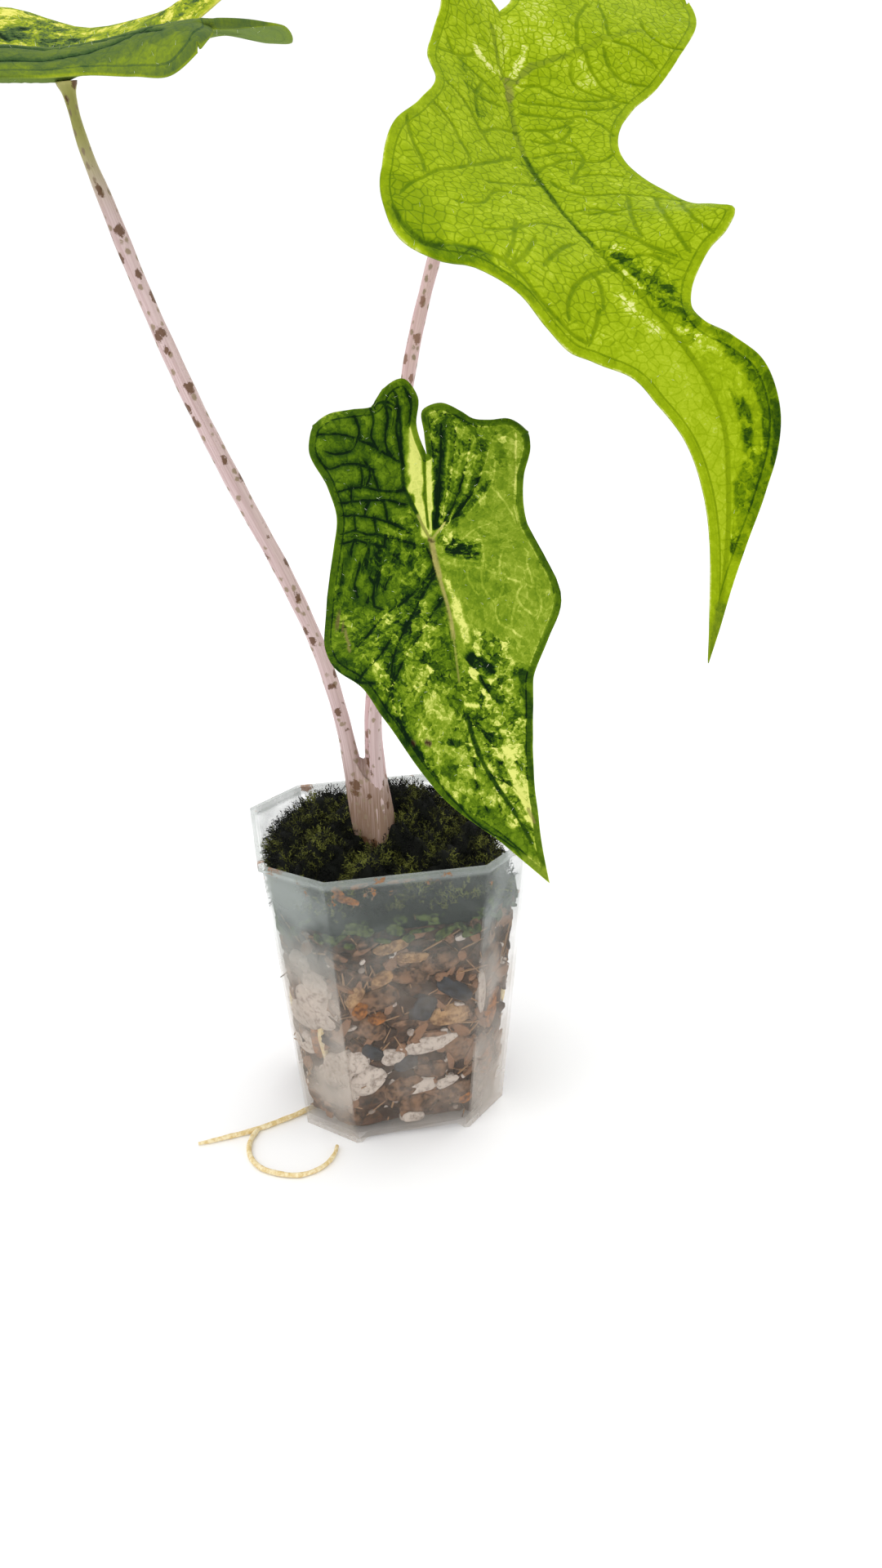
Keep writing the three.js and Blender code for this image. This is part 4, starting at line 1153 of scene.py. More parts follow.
SMALL_BLADE = Blade(
    name="blade_front",
    node="leaf_blade_3",
    slot="blade_marbled",
    skin=LeafSkin(
        "alocasia_leaf_marbled", SMALL_GREENS, drawn_width=0.42, vein_dark=-0.24, dome_shading=0.2
    ),
    joint=1,
    droop=(0.2, 0.2),
    notch=-24.5,
    notch_share=0.5,
    rib=[
        (*place, -0.18, -0.97, 0.17, 12, 12)
        for place in (
            (9.8, -56.7, 253.2), (7.9, -66.1, 213.6), (11, -75, 194.5), (12, -81.5, 175.4),
            (16.2, -86, 157.5), (26.5, -90.6, 138.8), (33, -95, 122.4),
        )
    ],
    left=[
        (0, 101, 0, 0), (-6, 88, 0.22, 0), (-12, 71, 0.42, 0.6), (-17, 57, 0.58, -0.6),
        (-22, 44, 0.72, 0.5), (-26, 37, 0.80, 1), (-34, 30.5, 0.90, -1.2),
        (-35.5, 20, 0.965, -2), (-32, 8, 0.985, -0.8), (-27, -2, 1.0, 1), (-25, -9, 1.15, 1.5),
        (-27, -16, 1.4, 0.5), (-32, -25, 1.8, -1.5), (-31, -30.5, 2, -1.5),
    ],
    left_bend=(-8, -22),
    left_sinus=[
        (-3, -32, 0), (-3, -39.5, 0), (-7, -43.7, 1), (-12, -41, 1), (-14.5, -36.5, 0),
        (-21, -35, -1), (-27, -33.5, -1.5),
    ],
    right=[
        (0, 101, 0, 0), (4, 85, 0.2, 0), (7.5, 77, 0.34, 0.6), (13, 67, 0.5, 0.8),
        (18, 51, 0.68, -0.6), (21, 38, 0.8, 0.8), (25.5, 29, 0.92, 0.4), (30.5, 21, 0.965, -1.4),
        (29, 13, 0.985, -1.2), (26.5, 0, 1.0, 0.8), (26, -10, 1.2, 1.2), (26.5, -18, 1.5, 0.6),
        (28.2, -27, 1.85, -1.2), (27.5, -31, 2, -1.5),
    ],
    right_bend=(7, -20),
    right_sinus=[
        (-0.8, -30, 0), (-1.5, -36, 0.6), (3, -38, 1.2), (9, -36, 0.6), (12, -34.3, 0),
        (17, -34, -0.8), (22, -34.5, -1.2),
    ],
    base=(0.385, 0.24, 0.68, 0.2),
    strokes=[
        # the marbled lower half, left and right of the midrib
        (-14, 26, -9, 56, 14, 0.5, 0.8), (8, 34, 5, 78, 10, 0.68, 0.75),
        (-9, 44, -6, 66, 5.5, 0.72, 0.45), (-17, 28, -12, 34, 5, 0.52, 0.6),
        (-28, 11, -26, 20, 5, 0.42, 0.6), (-9, 14, -12, 22, 5, 0.32, 0.75),
        (-24, 22, -18, 30, 4, 0.34, 0.6), (-14, 44, -9, 70, 4, 0.62, 0.5),
        # the joint's left side, mottled
        (-6, -6, -8, 6, 4, 0.36, 0.6), (-10, -4, -14, 2, 4, 0.37, 0.6),
        # the right lobe, streaked from the joint
        (5, -31, 6, -12, 5, 0.36, 0.6), (12, -31, 9, -14, 5, 0.44, 0.5),
        (2.2, -32, 3, -6, 2, 0.36, 0.8), (1.4, -5, 3.4, -18, 1.1, 0.1, 0.3),
        (3.2, -6, 7.4, -20, 0.9, 0.62, 0.4), (7.4, -20, 8.6, -31, 1.1, 0.6, 0.5),
        (4.8, -6, 9.4, -18, 0.8, 0.3, 0.4), (6.6, -5, 13, -17, 1.3, 0.24, 0.5),
        (13, -17, 15.6, -27, 1.3, 0.3, 0.5), (10.8, -14, 12.6, -29, 1.0, 0.64, 0.4),
        (3.6, -18, 5, -32, 1.1, 0.22, 0.4), (5.8, -22, 6.6, -33, 0.9, 0.52, 0.4),
        (13.5, -10, 21, -26, 2.0, 0.66, 0.4), (20, -30, 22, -22, 2.5, 0.6, 0.4),
        (9.5, -7, 17, -16, 1.0, 0.38, 0.5), (24, -29, 23.5, -14, 1.6, 0.76, 0.2),
        (2.5, -0.6, 6, 0.6, 1.8, 0.3, 0.5), (4.6, 0.8, 7.4, 3.2, 2.8, 0.3, 0.9),
        (7, 2.4, 11.5, 4.8, 3.1, 0.36, 1.0), (24, -6, 22, 12, 4, 0.7, 0.12),
        (16, -4, 18, 10, 5, 0.68, 0.22), (8, 12, 14, 24, 5, 0.62, 0.2),
        # dark bands beside the margins
        (-28, 32, -17, 53, 3.0, 0.26, 0.5), (-17, 55, -8, 84, 1.8, 0.36, 0.4),
        (-34, 26, -27, 37, 2.6, 0.24, 0.4), (17.5, 38, 16.6, 52, 1.5, 0.24, 0.4),
        (16, 54, 9.5, 74, 0.9, 0.34, 0.3),
        # the grey-green band left of the midrib, and the dark midrib below
        (-1.4, 8, -1.8, 32, 1.7, 0.36, 0.45), (-1.6, 32, -1.2, 44, 1.2, 0.38, 0.4),
        (-4, 0, -6, 12, 2.4, 0.4, 0.6), (-0.2, 47, 0, 60, 0.9, 0.14, 0.3),
        (0, 60, 0, 88, 0.8, 0.18, 0.2),
        # dark blots on the lower right and beside the midrib
        (3.6, 32, 8.8, 37, 1.9, 0.18, 0.6), (6.0, 38, 10, 46, 1.2, 0.2, 0.6),
        (2.2, 49, 4.4, 55, 1.8, 0.3, 0.7), (5, 52, 8, 54, 0.9, 0.24, 0.5),
        (2.4, 58, 4, 70, 1.5, 0.36, 0.8), (-6.8, 53, -4.4, 54, 1.1, 0.26, 0.5),
        (1.8, 74, 4.0, 78, 1.1, 0.4, 0.6), (-8, 58, -5, 66, 1.6, 0.5, 0.6),
        (0.6, 80, 2, 86, 0.9, 0.36, 0.5),
        # cream: the wedge right of the midrib, the zone before the tip, the strips of the sinus
        (1.6, 10, 2.2, 18, 0.8, 0.9, 0.3), (2.1, 17, 3.4, 27, 1.5, 0.96, 0.3),
        (7.6, 60, 5.0, 76, 1.9, 0.92, 0.4), (4.8, 74, 2.6, 92, 1.7, 0.94, 0.35, 0.05),
        (3.8, 79, 3.4, 83, 0.5, 0.74, 0.1, 0.75), (8.4, 54, 9.4, 62, 1.0, 0.82, 0.5),
        (-3.4, -30, -3.2, -16, 2.3, 0.99, 0.05), (-2.9, -17, -1.3, -3.5, 1.5, 0.97, 0.08),
        (0.7, -23.5, 0.6, -10, 1.15, 0.98, 0.06), (0.5, -12, -0.1, -3.5, 0.8, 0.95, 0.06),
        (-0.8, -25, -0.6, -5, 0.4, 0.36, 0),
        # tan veins: joint, midrib, the first right lateral
        (0, -1.5, -0.3, 9, 0.95, 0.74, 0.2, 1), (-0.3, 9, -0.3, 26, 0.7, 0.7, 0.2, 0.85),
        (-0.4, 26, -0.2, 38, 0.4, 0.6, 0.2, 0.5), (0.6, -2, 4.3, -5.6, 0.4, 0.76, 0, 0.6),
        (-0.6, -2, -3.2, -8.6, 0.45, 0.66, 0, 0.6), (-3.4, -9, -6.5, -16, 0.6, 0.08, 0),
        (-6.5, -16, -7.8, -36, 0.55, 0.06, 0), (-0.8, -1.6, 0.4, -0.9, 0.5, 0.1, 0, 0.9),
        # old scars
        (-31, 11.5, -29.2, 18, 0.55, 0.14, 0, 1), (-29.2, 18, -29, 27, 0.4, 0.34, 0, 0.9),
        (-12.9, 51.2, -12.2, 51.8, 0.75, 0.02, 0, 1), (-16.4, 50.4, -16.2, 50.8, 0.5, 0.1, 0, 1),
        (0.4, 44.5, 3.6, 45.6, 0.75, 1.0, 0),
    ],
    edge_strokes=[
        (-3.5, 93, 0, 101, 3.0, 0.62, 0.2, 0.1), (-28, -32, -22, -35, 1.4, 0.56, 0.4),
        (-9, -43, -6, -40, 2.4, 0.42, 0.3), (-6, 88, -2, 98, 0.8, 0.6, 0.2),
    ],
    dark_veins=[
        (-8.6, -22.9, -13.4, -25.5, -19.1, -27.6, -25, -28.7, -29.3, -28.3),
        (-15.5, -35.5, -14.7, -32.5, -15.1, -28.2, -13.1, -25.1),
        (-19.6, -32.7, -18.6, -29.8, -19.4, -26.8), (-6.4, -41, -4.8, -36.8, -5.2, -32),
        (-12.1, -37, -10.8, -32.8, -11.4, -28.1, -9.6, -23.7),
        (-9.2, -40, -8.1, -35.7, -8.6, -31.2, -7.3, -25.7, -6.4, -21.9),
        (-14.8, -36.7, -12.1, -37.5, -9, -36.7), (-16.5, -21.9, -15.5, -19.2, -16.6, -16.7),
        (-14.7, -20.1, -18.3, -21.3, -22.8, -21.2, -26.4, -20.5, -29.7, -23),
        (-20.9, -24.8, -23.2, -23.9, -27.1, -24.4),
        (-7, -15, -11, -14.8, -16.8, -16.1, -20.8, -15.8, -24.5, -15.1),
        (-6.4, -11.4, -10.7, -12.6, -15, -12.8, -19.1, -12.5, -23.6, -12.3),
        (-6, -4.3, -10.6, -6.9, -15.3, -8.4, -18.8, -9.2, -23.2, -9.2),
        (-5.7, -1.2, -10.3, -3.1, -13.7, -4.3, -17.8, -4.9, -20.2, -5.5, -23.6, -5.4),
        (-9.8, 2.2, -13.3, -1.1, -17.2, -2.5, -21.1, -3.5, -24.3, -3.2),
        (-13.1, 6.1, -17.5, 3.1, -19.6, 1.6, -22.9, -0.5, -25.5, 1.9),
        (-15.8, 8.1, -18.8, 4.9, -21.6, 3.6, -23.7, 3.9, -26.8, 4.2),
        (-18.1, 13.4, -21.6, 10.1, -24.4, 7.7, -28, 6.6),
        (-1.5, 0.7, -0.8, 5, -4.8, 9.2, -10.2, 12.5, -16.9, 14.9, -26.2, 24.9),
        (-1, 7.5, -7, 13.6, -12, 20, -16.9, 28.6, -18.8, 34.9),
        (-1.6, 15.3, -5.6, 19, -9.4, 23.9, -13.1, 28.9, -19.3, 37.6),
        (-19.7, 37.8, -21.7, 35.9, -24.6, 35.4, -27.5, 34.9, -31.6, 32.9, -34.4, 29.7),
        (-27.5, 34.9, -25.3, 32.6, -22.2, 30.2, -19.4, 27.2, -17.3, 23.7),
        (-19, 38.3, -18.9, 42.1, -17, 50.1, -15, 55.1, -12.4, 65, -9.8, 76.4, -5, 87),
        (-18.3, -21.3, -17.6, -18.5, -18.2, -15.9), (-14.7, -20.1, -13.2, -15.3),
        (-20.8, -15.8, -20.6, -12.3), (-16, -12.8, -17.7, -9.1), (-12.1, -12.7, -11.4, -7.4),
        (-20.3, -9.3, -20.2, -5.5), (-15, -8.4, -14.9, -4.4), (-13.3, -1.1, -12.4, -3.9),
        (-22.9, -0.5, -21.1, -3.3), (-17.2, -2.5, -18.1, 1.5), (-21.6, 3.6, -20.6, 1.6),
        (-23.8, 7.6, -23.2, 3.8), (-20.2, 11.1, -17.7, 6.1),
        (24, -30, 24.5, -20, 23.6, -10, 23.8, -2), (2, -36, 8, -34.5, 13, -32),
        (1.6, -5, 3.4, -16, 4, -32), (2.4, -5, 6, -15, 8, -32), (3, -4.4, 8.4, -13, 12, -29),
        (3.4, -4, 10.4, -10.4, 17, -25), (2.5, 0.6, 6, 1.2, 10, 3.4),
        (3.4, 2.6, 8, 4.6, 11.6, 6), (4.6, 31.6, 7.4, 34, 10.4, 39, 11, 45),
        (3, 33, 6, 38, 7.4, 44), (1, 50, 4, 56, 5, 64), (0.6, 66, 3.4, 72, 4.6, 79),
        (-0.6, 70, -3.4, 76), (-1, 58, -4.6, 66, -6, 73),
    ],
    pale_veins=[
        (1, 3.1, 4.1, 6.7, 8.2, 8.6, 11.8, 10.8, 15.8, 13.7, 24, 18.7, 27.8, 20.1),
        (2.1, -3.3, 4.3, -5.6, 6, -9.2, 8.2, -11.9, 11.1, -12.9), (2, -5, 5, -15, 6.2, -30),
        (2.6, -4.6, 7.5, -15, 10, -31), (3, -4, 9.4, -12, 14.4, -27),
        (17.4, -14.8, 21, -10, 23, -2), (5, 7.2, 6, 3.4, 10, -1, 16, -3),
        (15.8, 13.7, 18, 8, 22, 4, 25, 3), (11.8, 10.8, 13.6, 5, 13, 0),
        (24, 18.7, 24, 12, 26, 8),
        (4.3, -5.6, 10.7, -7.5, 15.1, -11.5, 17.4, -14.8, 18.7, -21.1),
        (8.2, -11.9, 8.9, -16.9, 11, -23.7, 15.1, -29.2, 18.3, -28.3, 24.1, -31.9),
        (-2.2, 22.2, -1.6, 27.1, -1, 33.6), (-0.8, 22.5, -0.4, 27.9, 0, 33.7),
        (21.4, 17.1, 18.5, 20.1, 20.8, 22.8, 23.1, 24.5),
        (15.8, 13.7, 15.5, 17.2, 12.7, 19.9, 12.7, 23.7, 16, 26.1),
        (11.8, 10.8, 10.6, 14.4, 12.7, 19.9), (18.5, 20.1, 16, 26.1, 18.3, 28.4),
        (24, 18.7, 24.9, 20.9, 23.1, 24.5), (8.2, 8.6, 7.2, 12.5, 8.4, 16.4),
        (-0.3, 45.2, -0.5, 48.2, -1, 51.5),
    ],
    seed=3,
)

LARGE_BLADE = Blade(
    name="blade_large",
    node="leaf_blade_2",
    slot="blade_light",
    skin=LeafSkin(
        "alocasia_leaf_yellow_green",
        LARGE_GREENS_BACKLIT,
        cell=2.7,
        net=0.85,
        # painted shade: the veins darken the light zones too, as veins show against light shining
        # through the leaf
        vein_light=-0.23,
        border=2.4,
        drawn_width=0.8,
        dome_shading=0.05,
        gloss=0.6,
        shine=0.03,
    ),
    joint=3,
    droop=(0.15, 0.15),
    notch=-31.5,
    notch_share=0.4,
    rib=[
        (53, 60, 388, 0, -0.79, 0.62, 30, -2), (51, 38, 373, 0, -0.79, 0.62, 30, -2),
        (48, 15, 356, 0, -0.79, 0.62, 30, -2), (45, -4, 333, 0, -0.74, 0.68, 30, -2),
        (44, -26, 314, -0.04, -0.71, 0.70, 30, -2), (47, -49, 299, -0.1, -0.70, 0.70, 28, -2),
        (52, -77, 284, -0.2, -0.75, 0.63, 26, 0), (62, -93, 269, -0.25, -0.8, 0.54, 22, 2),
        (69, -102, 257, -0.25, -0.84, 0.48, 20, 4), (72, -108, 247, -0.22, -0.88, 0.42, 18, 5),
        (72, -114, 231, -0.2, -0.92, 0.3, 16, 6), (70, -119, 212, -0.15, -0.95, 0.25, 12, 8),
        (65, -124, 191, -0.11, -0.98, 0.19, 10, 10),
    ],
    left=[
        (0, 201, 0, 0), (-3, 185, 0.08, 0), (-4.5, 172, 0.15, 0), (-7, 158, 0.23, 0),
        (-12, 143, 0.33, 0), (-15, 134, 0.39, 0.5), (-18, 122, 0.46, 0.5), (-23, 115, 0.51, -1),
        (-27, 110, 0.55, -1.5), (-29.5, 103, 0.6, 0.5), (-31, 95, 0.65, 1.5), (-37, 88, 0.69, 0),
        (-45, 84.5, 0.73, -2), (-52, 79, 0.77, -3), (-53, 70, 0.80, -2.5), (-51, 58, 0.83, -1),
        (-44, 41, 0.89, 1), (-34, 29.5, 0.94, 1.5), (-26.5, 16, 0.98, 1.5), (-28, 5, 1.03, 0),
        (-25, -9, 1.12, -1), (-22, -21, 1.25, 0), (-25, -36, 1.45, 1.5), (-32, -48, 1.65, 0),
        (-38, -58, 1.85, -2), (-38, -66, 2, -2),
    ],
    left_bend=(-5, -40),
    left_sinus=[(-4, -36, 0), (-6, -48, 0.5), (-11, -62, 1), (-19, -73, 0), (-29, -75, -1.5)],
    right=[
        (0, 201, 0, 0), (0.8, 194, 0.06, 0), (2.3, 182, 0.12, 0), (5, 171, 0.18, 0),
        (8.7, 160.5, 0.25, 0), (11.7, 151, 0.31, 1), (13.5, 142, 0.37, 2),
        (13.3, 133, 0.42, 2.5), (10.8, 127, 0.46, 2), (7.5, 119.5, 0.5, 1), (8, 114, 0.53, -0.5),
        (11.6, 109.5, 0.56, -1.5), (16.7, 106, 0.6, -1.5), (22, 103.5, 0.64, -0.5),
        (28.5, 102, 0.7, 0.5), (34, 98, 0.77, 1.5), (33.2, 91, 0.785, 1), (33.5, 76, 0.81, 0),
        (33, 60, 0.85, -0.5), (30.3, 50, 0.88, -0.5), (28.6, 38, 0.92, 0), (29.2, 26, 0.96, 1),
        (32.5, 14, 0.99, 1.5), (39, 1.5, 1.1, 0.5), (49.5, -13.5, 1.35, -1.5),
        (61.5, -36.5, 1.65, 0), (68, -54, 1.88, 1.5), (68, -66, 2, 1),
    ],
    right_bend=(36, -22),
    right_sinus=[
        (3.5, -37, 0), (5, -50, 0.5), (10, -68, 2), (22, -82, 0), (38, -88, -2), (56, -82, 0),
    ],
    base=(0.77, 0.16, 0.76, 0.16),
    strokes=[
        # smoother and a little deeper toward the left and the lower half
        (-36, 46, -40, 66, 13, 0.77, 0.14), (-10, 34, -30, 60, 10, 0.75, 0.14),
        (-9, 122, -5, 182, 8, 0.82, 0.08), (6, 120, 9, 140, 6, 0.72, 0.25),
        (-15, 2, -12, 20, 3, 0.66, 0.3), (-1, 38, -2, 46, 3, 0.62, 0.3),
        (-48, 62, -44, 74, 6, 0.62, 0.1), (-2, -16, 12, -40, 5, 0.86, 0.15),
        (9, -32, 24, -10, 6, 0.84, 0.15),
        # dark mosaic along the right margin of the lower half, with bright cells
        (12, 126, 11, 150, 5.0, 0.48, 0.6), (9, 146, 4, 172, 4.0, 0.52, 0.6),
        (11.8, 130, 11.4, 147, 3.8, 0.26, 0.5), (10.2, 146, 7, 166, 3.2, 0.28, 0.5),
        (5.5, 136, 4.6, 150, 1.7, 0.36, 0.6), (2.6, 158, 3.2, 170, 1.4, 0.44, 0.5),
        (9, 122, 9.6, 129, 2.0, 0.3, 0.6), (4.6, 127, 6.4, 137, 2.4, 0.78, 0.2),
        (8, 137, 7.4, 150, 1.2, 0.72, 0.3),
        # blots beside the lower midrib
        (2.6, 88, 6, 118, 4.6, 0.58, 0.6), (1.6, 89, 4.6, 92, 2.0, 0.3, 0.8),
        (3, 97, 5.6, 105, 2.3, 0.3, 0.8), (5, 106, 6.8, 117, 3.0, 0.26, 0.7),
        (-5.5, 108, -3.6, 114, 2.0, 0.92, 0.3), (-6.5, 103, -5.5, 107, 2.2, 0.84, 0.3),
        (0.9, 93, 1.6, 100, 0.9, 0.84, 0.4),
        # midrib and joint
        (0, 4, 0, 36, 1.1, 0.54, 0, 0.12), (0, 32, 0, 58, 1.1, 0.22, 0),
        (0, 56, 0, 86, 0.9, 0.32, 0), (0, 84, 0, 126, 0.9, 0.56, 0),
        (0, 126, 0, 196, 0.8, 0.62, 0), (0.6, -3.5, 0, 4, 1.8, 0.54, 0.2, 0.5),
        (-1.6, -3.6, 3.4, -3.8, 1.1, 0.45, 0.1, 0.6),
        # ribs of the lobes
        (1, -2.5, 9, -10.5, 1.3, 0.56, 0, 0.2), (9, -10.5, 20, -17, 1.15, 0.58, 0, 0.1),
        (20, -17, 46, -37, 1.0, 0.6, 0, 0.05), (-1, -3, -4.2, -22, 0.9, 0.6, 0, 0.1),
        # cream beside the joint
        (2.6, -5.5, 5.6, -13.5, 1.3, 1.0, 0.3), (6, -14, 6.6, -17.5, 0.8, 0.96, 0.3),
        (-10.6, -9.8, -9.6, -7.6, 1.3, 1.0, 0.4), (-8, -6.6, -4.6, -4.2, 1.1, 0.98, 0.4),
        (-3.2, -6.5, -2.2, -4.6, 1.0, 0.97, 0.3), (-0.8, -9, -0.6, -20, 1.0, 0.86, 0.2),
    ],
    border_tone=(0.62, 0.6),
    border_cover=0.6,
    hairs=7000.0,
    edge_strokes=[
        (-51.5, 72, -45, 82.5, 2.0, 0.5, 0.2), (-44, 83, -35, 86, 2.6, 0.42, 0.2),
        (-35, 87, -29, 96, 1.6, 0.52, 0.2), (13.2, 137, 11, 154, 1.2, 0.2, 0.4),
        (0, 189, 0, 201, 2.4, 0.44, 0.2, 0.1),
    ],
    dark_veins=[
        (5, -2, 10, -3, 16, 0.5, 25, 1.5, 32, -2, 34, -4),
        (21, -13, 21.5, -5.5, 25.5, -3, 31.5, -1.5, 37.5, -1),
        (26, -19.5, 27, -13.5, 30, -7.5, 34, -4), (32, -22.5, 33.5, -15, 38, -11.5, 44.5, -12),
        (36, -26.5, 42, -26, 46, -24, 49.5, -21), (46.5, -41.5, 48.5, -35, 52, -32, 59.5, -33),
        (34, -29, 34, -37.5, 33, -47.5), (23.5, -22.5, 24.5, -33.5, 28.5, -44),
        (4.5, 5.5, 9.5, 5.5, 16.5, 6, 24, 6, 31, 3.5, 35, 0),
        (3.5, 10.5, 9.5, 11, 15.5, 11.5, 22, 10, 25.5, 13, 29, 19.5),
        (4, 18, 8, 19, 11, 23, 15.5, 25.5, 17, 33, 11.5, 42.5, 9, 47.5),
        (4.5, 23.5, 8.5, 24.5, 14, 21.5, 17, 16.5), (3, 32, 7.5, 30.5, 15.5, 29.5),
        (1.5, 40, 6, 36.5, 9, 39.5), (3.5, 46, 5, 50.5, 9, 54.5, 19, 57, 26.5, 60, 32, 66),
        (2.5, 63, 9, 63.5, 12, 70.5), (0.5, 74.5, 6, 77, 10, 86, 12, 93, 14.5, 99),
        (-1.5, 92.5, 4, 92, 9, 94, 12, 100), (26.5, 62.5, 22, 78.5, 18, 100.5),
        (20, 59.5, 14.5, 75.5, 12, 86.5), (30.5, 70, 25.5, 90, 25.5, 100),
        (-6, 36, -16, 43.5, -25, 49, -35.5, 54.5, -42, 60.5, -47.5, 66.5),
        (-5, 5, -9, 3, -13.5, 0.5, -18.5, -2.5, -20.5, -7.5),
        (-11, -7.5, -17.5, -2.5, -23.5, -1),
        (-9.5, 38, -12.5, 34, -14.5, 27, -18, 18.5, -23.5, 15.5),
        (-22.5, 45, -23, 38.5, -25, 30.5, -29, 27.5), (0, 19.5, -6.5, 22.5, -14, 29.5),
        (-9, 3, -13, 13.5, -13.5, 22), (-38.5, 55, -38.5, 50, -39.5, 44, -39, 37.5),
        (-50.5, 71.5, -49.5, 76.5, -45, 81.5, -39.5, 82, -35, 83.5, -32, 85.5, -29, 88, -27.5,
         92, -26.2, 100, -24, 106, -22, 109.5), (-16.5, 82, -24, 87.5, -29, 89),
        (-18.5, 74.5, -22.5, 82, -28, 87),
        (0.5, 93.5, -7, 93.5, -14, 95.5, -19.5, 99, -22.5, 102.5),
        (-7, 93.5, -8.5, 98.5, -11.5, 103), (-13.5, 103.5, -17.5, 107, -21, 110),
        (-6, 82.5, -12.5, 86, -19, 89.5), (-4, 74, -11.5, 74, -21.5, 78.5, -28.5, 78.5),
        (-11, 57.5, -18.5, 58.5, -26.5, 67.5, -32.5, 67.5), (6, 18, 12, 17, 18, 13),
        (7, 36, 13, 34, 20, 36, 26, 32), (10, 45, 16, 44, 24, 46),
        (6, 66, 14, 68, 22, 72, 28, 74), (-4, 10, -10, 12, -16, 10), (-3, 48, -12, 52, -20, 54),
    ],
    rows=230,
    lobe_rows=120,
    columns=58,
    groove=0.34,
    fan_step=6.5,
    net_end=95.0,
    seed=7,
)

FAR_BLADE = Blade(
    name="blade_far",
    node="leaf_blade_1",
    slot="blade_dark",
    skin=LeafSkin(
        "alocasia_leaf_green_yellow",
        FAR_GREENS,
        cell=3.4,
        vein_dark=-0.13,
        vein_light=-0.12,
        border=2.2,
        drawn_width=0.5,
        gloss=0.6,
        shine=0.04,
    ),
    joint=3,
    droop=(0.2, 1.8),
    notch=-24,
    notch_share=0.4,
    rib=[
        (-16, -9, 345.2, 0.05, -0.2, 0.98, 34, 42), (-34, -6, 342.2, 0.05, -0.2, 0.98, 34, 42),
        (-56, -2, 339.2, 0.03, -0.2, 0.98, 32, 41), (-79, 2, 337.2, 0, -0.19, 0.98, 25.5, 38),
        (-104, 6, 337.2, -0.05, -0.2, 0.98, 27, 32),
        (-142, 11, 332.2, -0.15, -0.2, 0.97, 26, 30),
        (-182, 15, 317.2, -0.35, -0.2, 0.9, 18, 24), (-214, 18, 291.2, -0.55, -0.2, 0.8, 12, 16),
    ],
    left=[
        (0, 150, 0, 0), (-8, 132, 0.22, 0), (-17, 108, 0.42, 0.8), (-25, 86, 0.58, -0.8),
        (-33, 66, 0.72, 1), (-42, 54, 0.82, 0.5), (-50, 42, 0.92, -1), (-50, 26, 0.96, -2),
        (-43, 7, 0.985, -3), (-34, -9, 1.0, -2.8), (-32, -21, 1.2, -3.2), (-35, -34, 1.5, -3.6),
        (-44, -47, 1.8, -2.6), (-52, -58, 1.95, -1), (-55, -65, 2, 0),
    ],
    left_bend=(-18, -22),
    left_sinus=[(-9, -30, 0), (-18, -39, 0), (-27, -48, 0), (-34, -56, 0), (-45, -65, 0)],
    right=[
        (0, 150, 0, 0), (7, 132, 0.22, 0), (15, 108, 0.42, 0.8), (24, 86, 0.58, 1),
        (33, 66, 0.72, 3), (42, 52, 0.82, 5.5), (49, 38, 0.92, 8), (48, 24, 0.965, 7),
        (43, 8, 0.985, 3), (40, -3, 1.0, -1.2), (39, -14, 1.2, -3.2), (42, -26, 1.5, -4),
        (45, -36, 1.85, -3.6), (42, -43, 2, -2),
    ],
    right_bend=(16, -28),
    right_sinus=[
        (3, -34, 0.8), (4, -46, 1.4), (5, -58, -3.2), (9, -64, -6), (16, -63, -4.7),
        (20, -54, -3.9), (24, -46, -3.2), (33, -46, -3),
    ],
    base=(0.74, 0.7, 0.31, 0.1),
    border_tone=(0.42, 0.42),
    border_cover=0.5,
    strokes=[
        (-30, 6, -26, 30, 9, 0.55, 0.7), (-24, -8, -21, -22, 5, 0.66, 0.4),
        (-30, 18, -24, 20, 4, 0.2, 0.5), (-24, 0, -20, 8, 4, 0.25, 0.6),
        (-18, 30, -20, 60, 8, 0.35, 0.6), (-10, -6, -12, 10, 6, 0.7, 0.3),
        (-18, -40, -44, -64, 2.4, 0.95, 0.1), (-9, -30, -20, -41, 2.0, 0.9, 0.15),
        (10, 80, 6, 120, 8, 0.5, 0.5), (-5, -14, -6, 30, 2.4, 0.3, 0.6),
        (-8, 70, -8, 110, 8, 0.5, 0.6), (0, -2, 0, 140, 0.7, 0.16, 0, 0.2),
        (0, -2, -18, -24, 0.6, 0.3, 0, 0.2), (0, -2, 16, -28, 0.6, 0.3, 0, 0.2),
        (5, -30, 8, 60, 3, 0.42, 0.8), (40, -36, 42, 50, 4, 0.45, 0.1),
    ],
    dark_veins=[
        (10, -50, 12, -30, 15, -8, 18, 14, 20, 40, 16, 76, 9, 110),
        (16, -52, 19, -34, 23, -14, 28, 10, 31, 34, 26, 64, 17, 94),
        (24, -40, 28, -26, 32, -8, 38, 14, 41, 34, 37, 52), (4, -20, 7, 4, 9, 30, 9, 60),
        (23, -14, 26, -24, 32, -34), (15, -8, 20, 2, 28, 10), (28, 10, 34, 22, 41, 34),
        (9, 30, 14, 36, 20, 40), (-4, 8, -14, 16, -26, 22, -40, 26),
        (-3, 26, -14, 38, -26, 48, -36, 52), (-2, 48, -12, 62, -22, 74),
        (-8, -8, -18, -4, -28, -6), (-2, 72, -9, 88, -14, 98), (4, 66, 12, 78, 17, 94),
    ],
    rows=170,
    lobe_rows=130,
    columns=60,
    inner_columns=22,
    hairs=16000.0,
    groove=0.4,
    fan_step=8.0,
    seed=11,
)


# Stalks


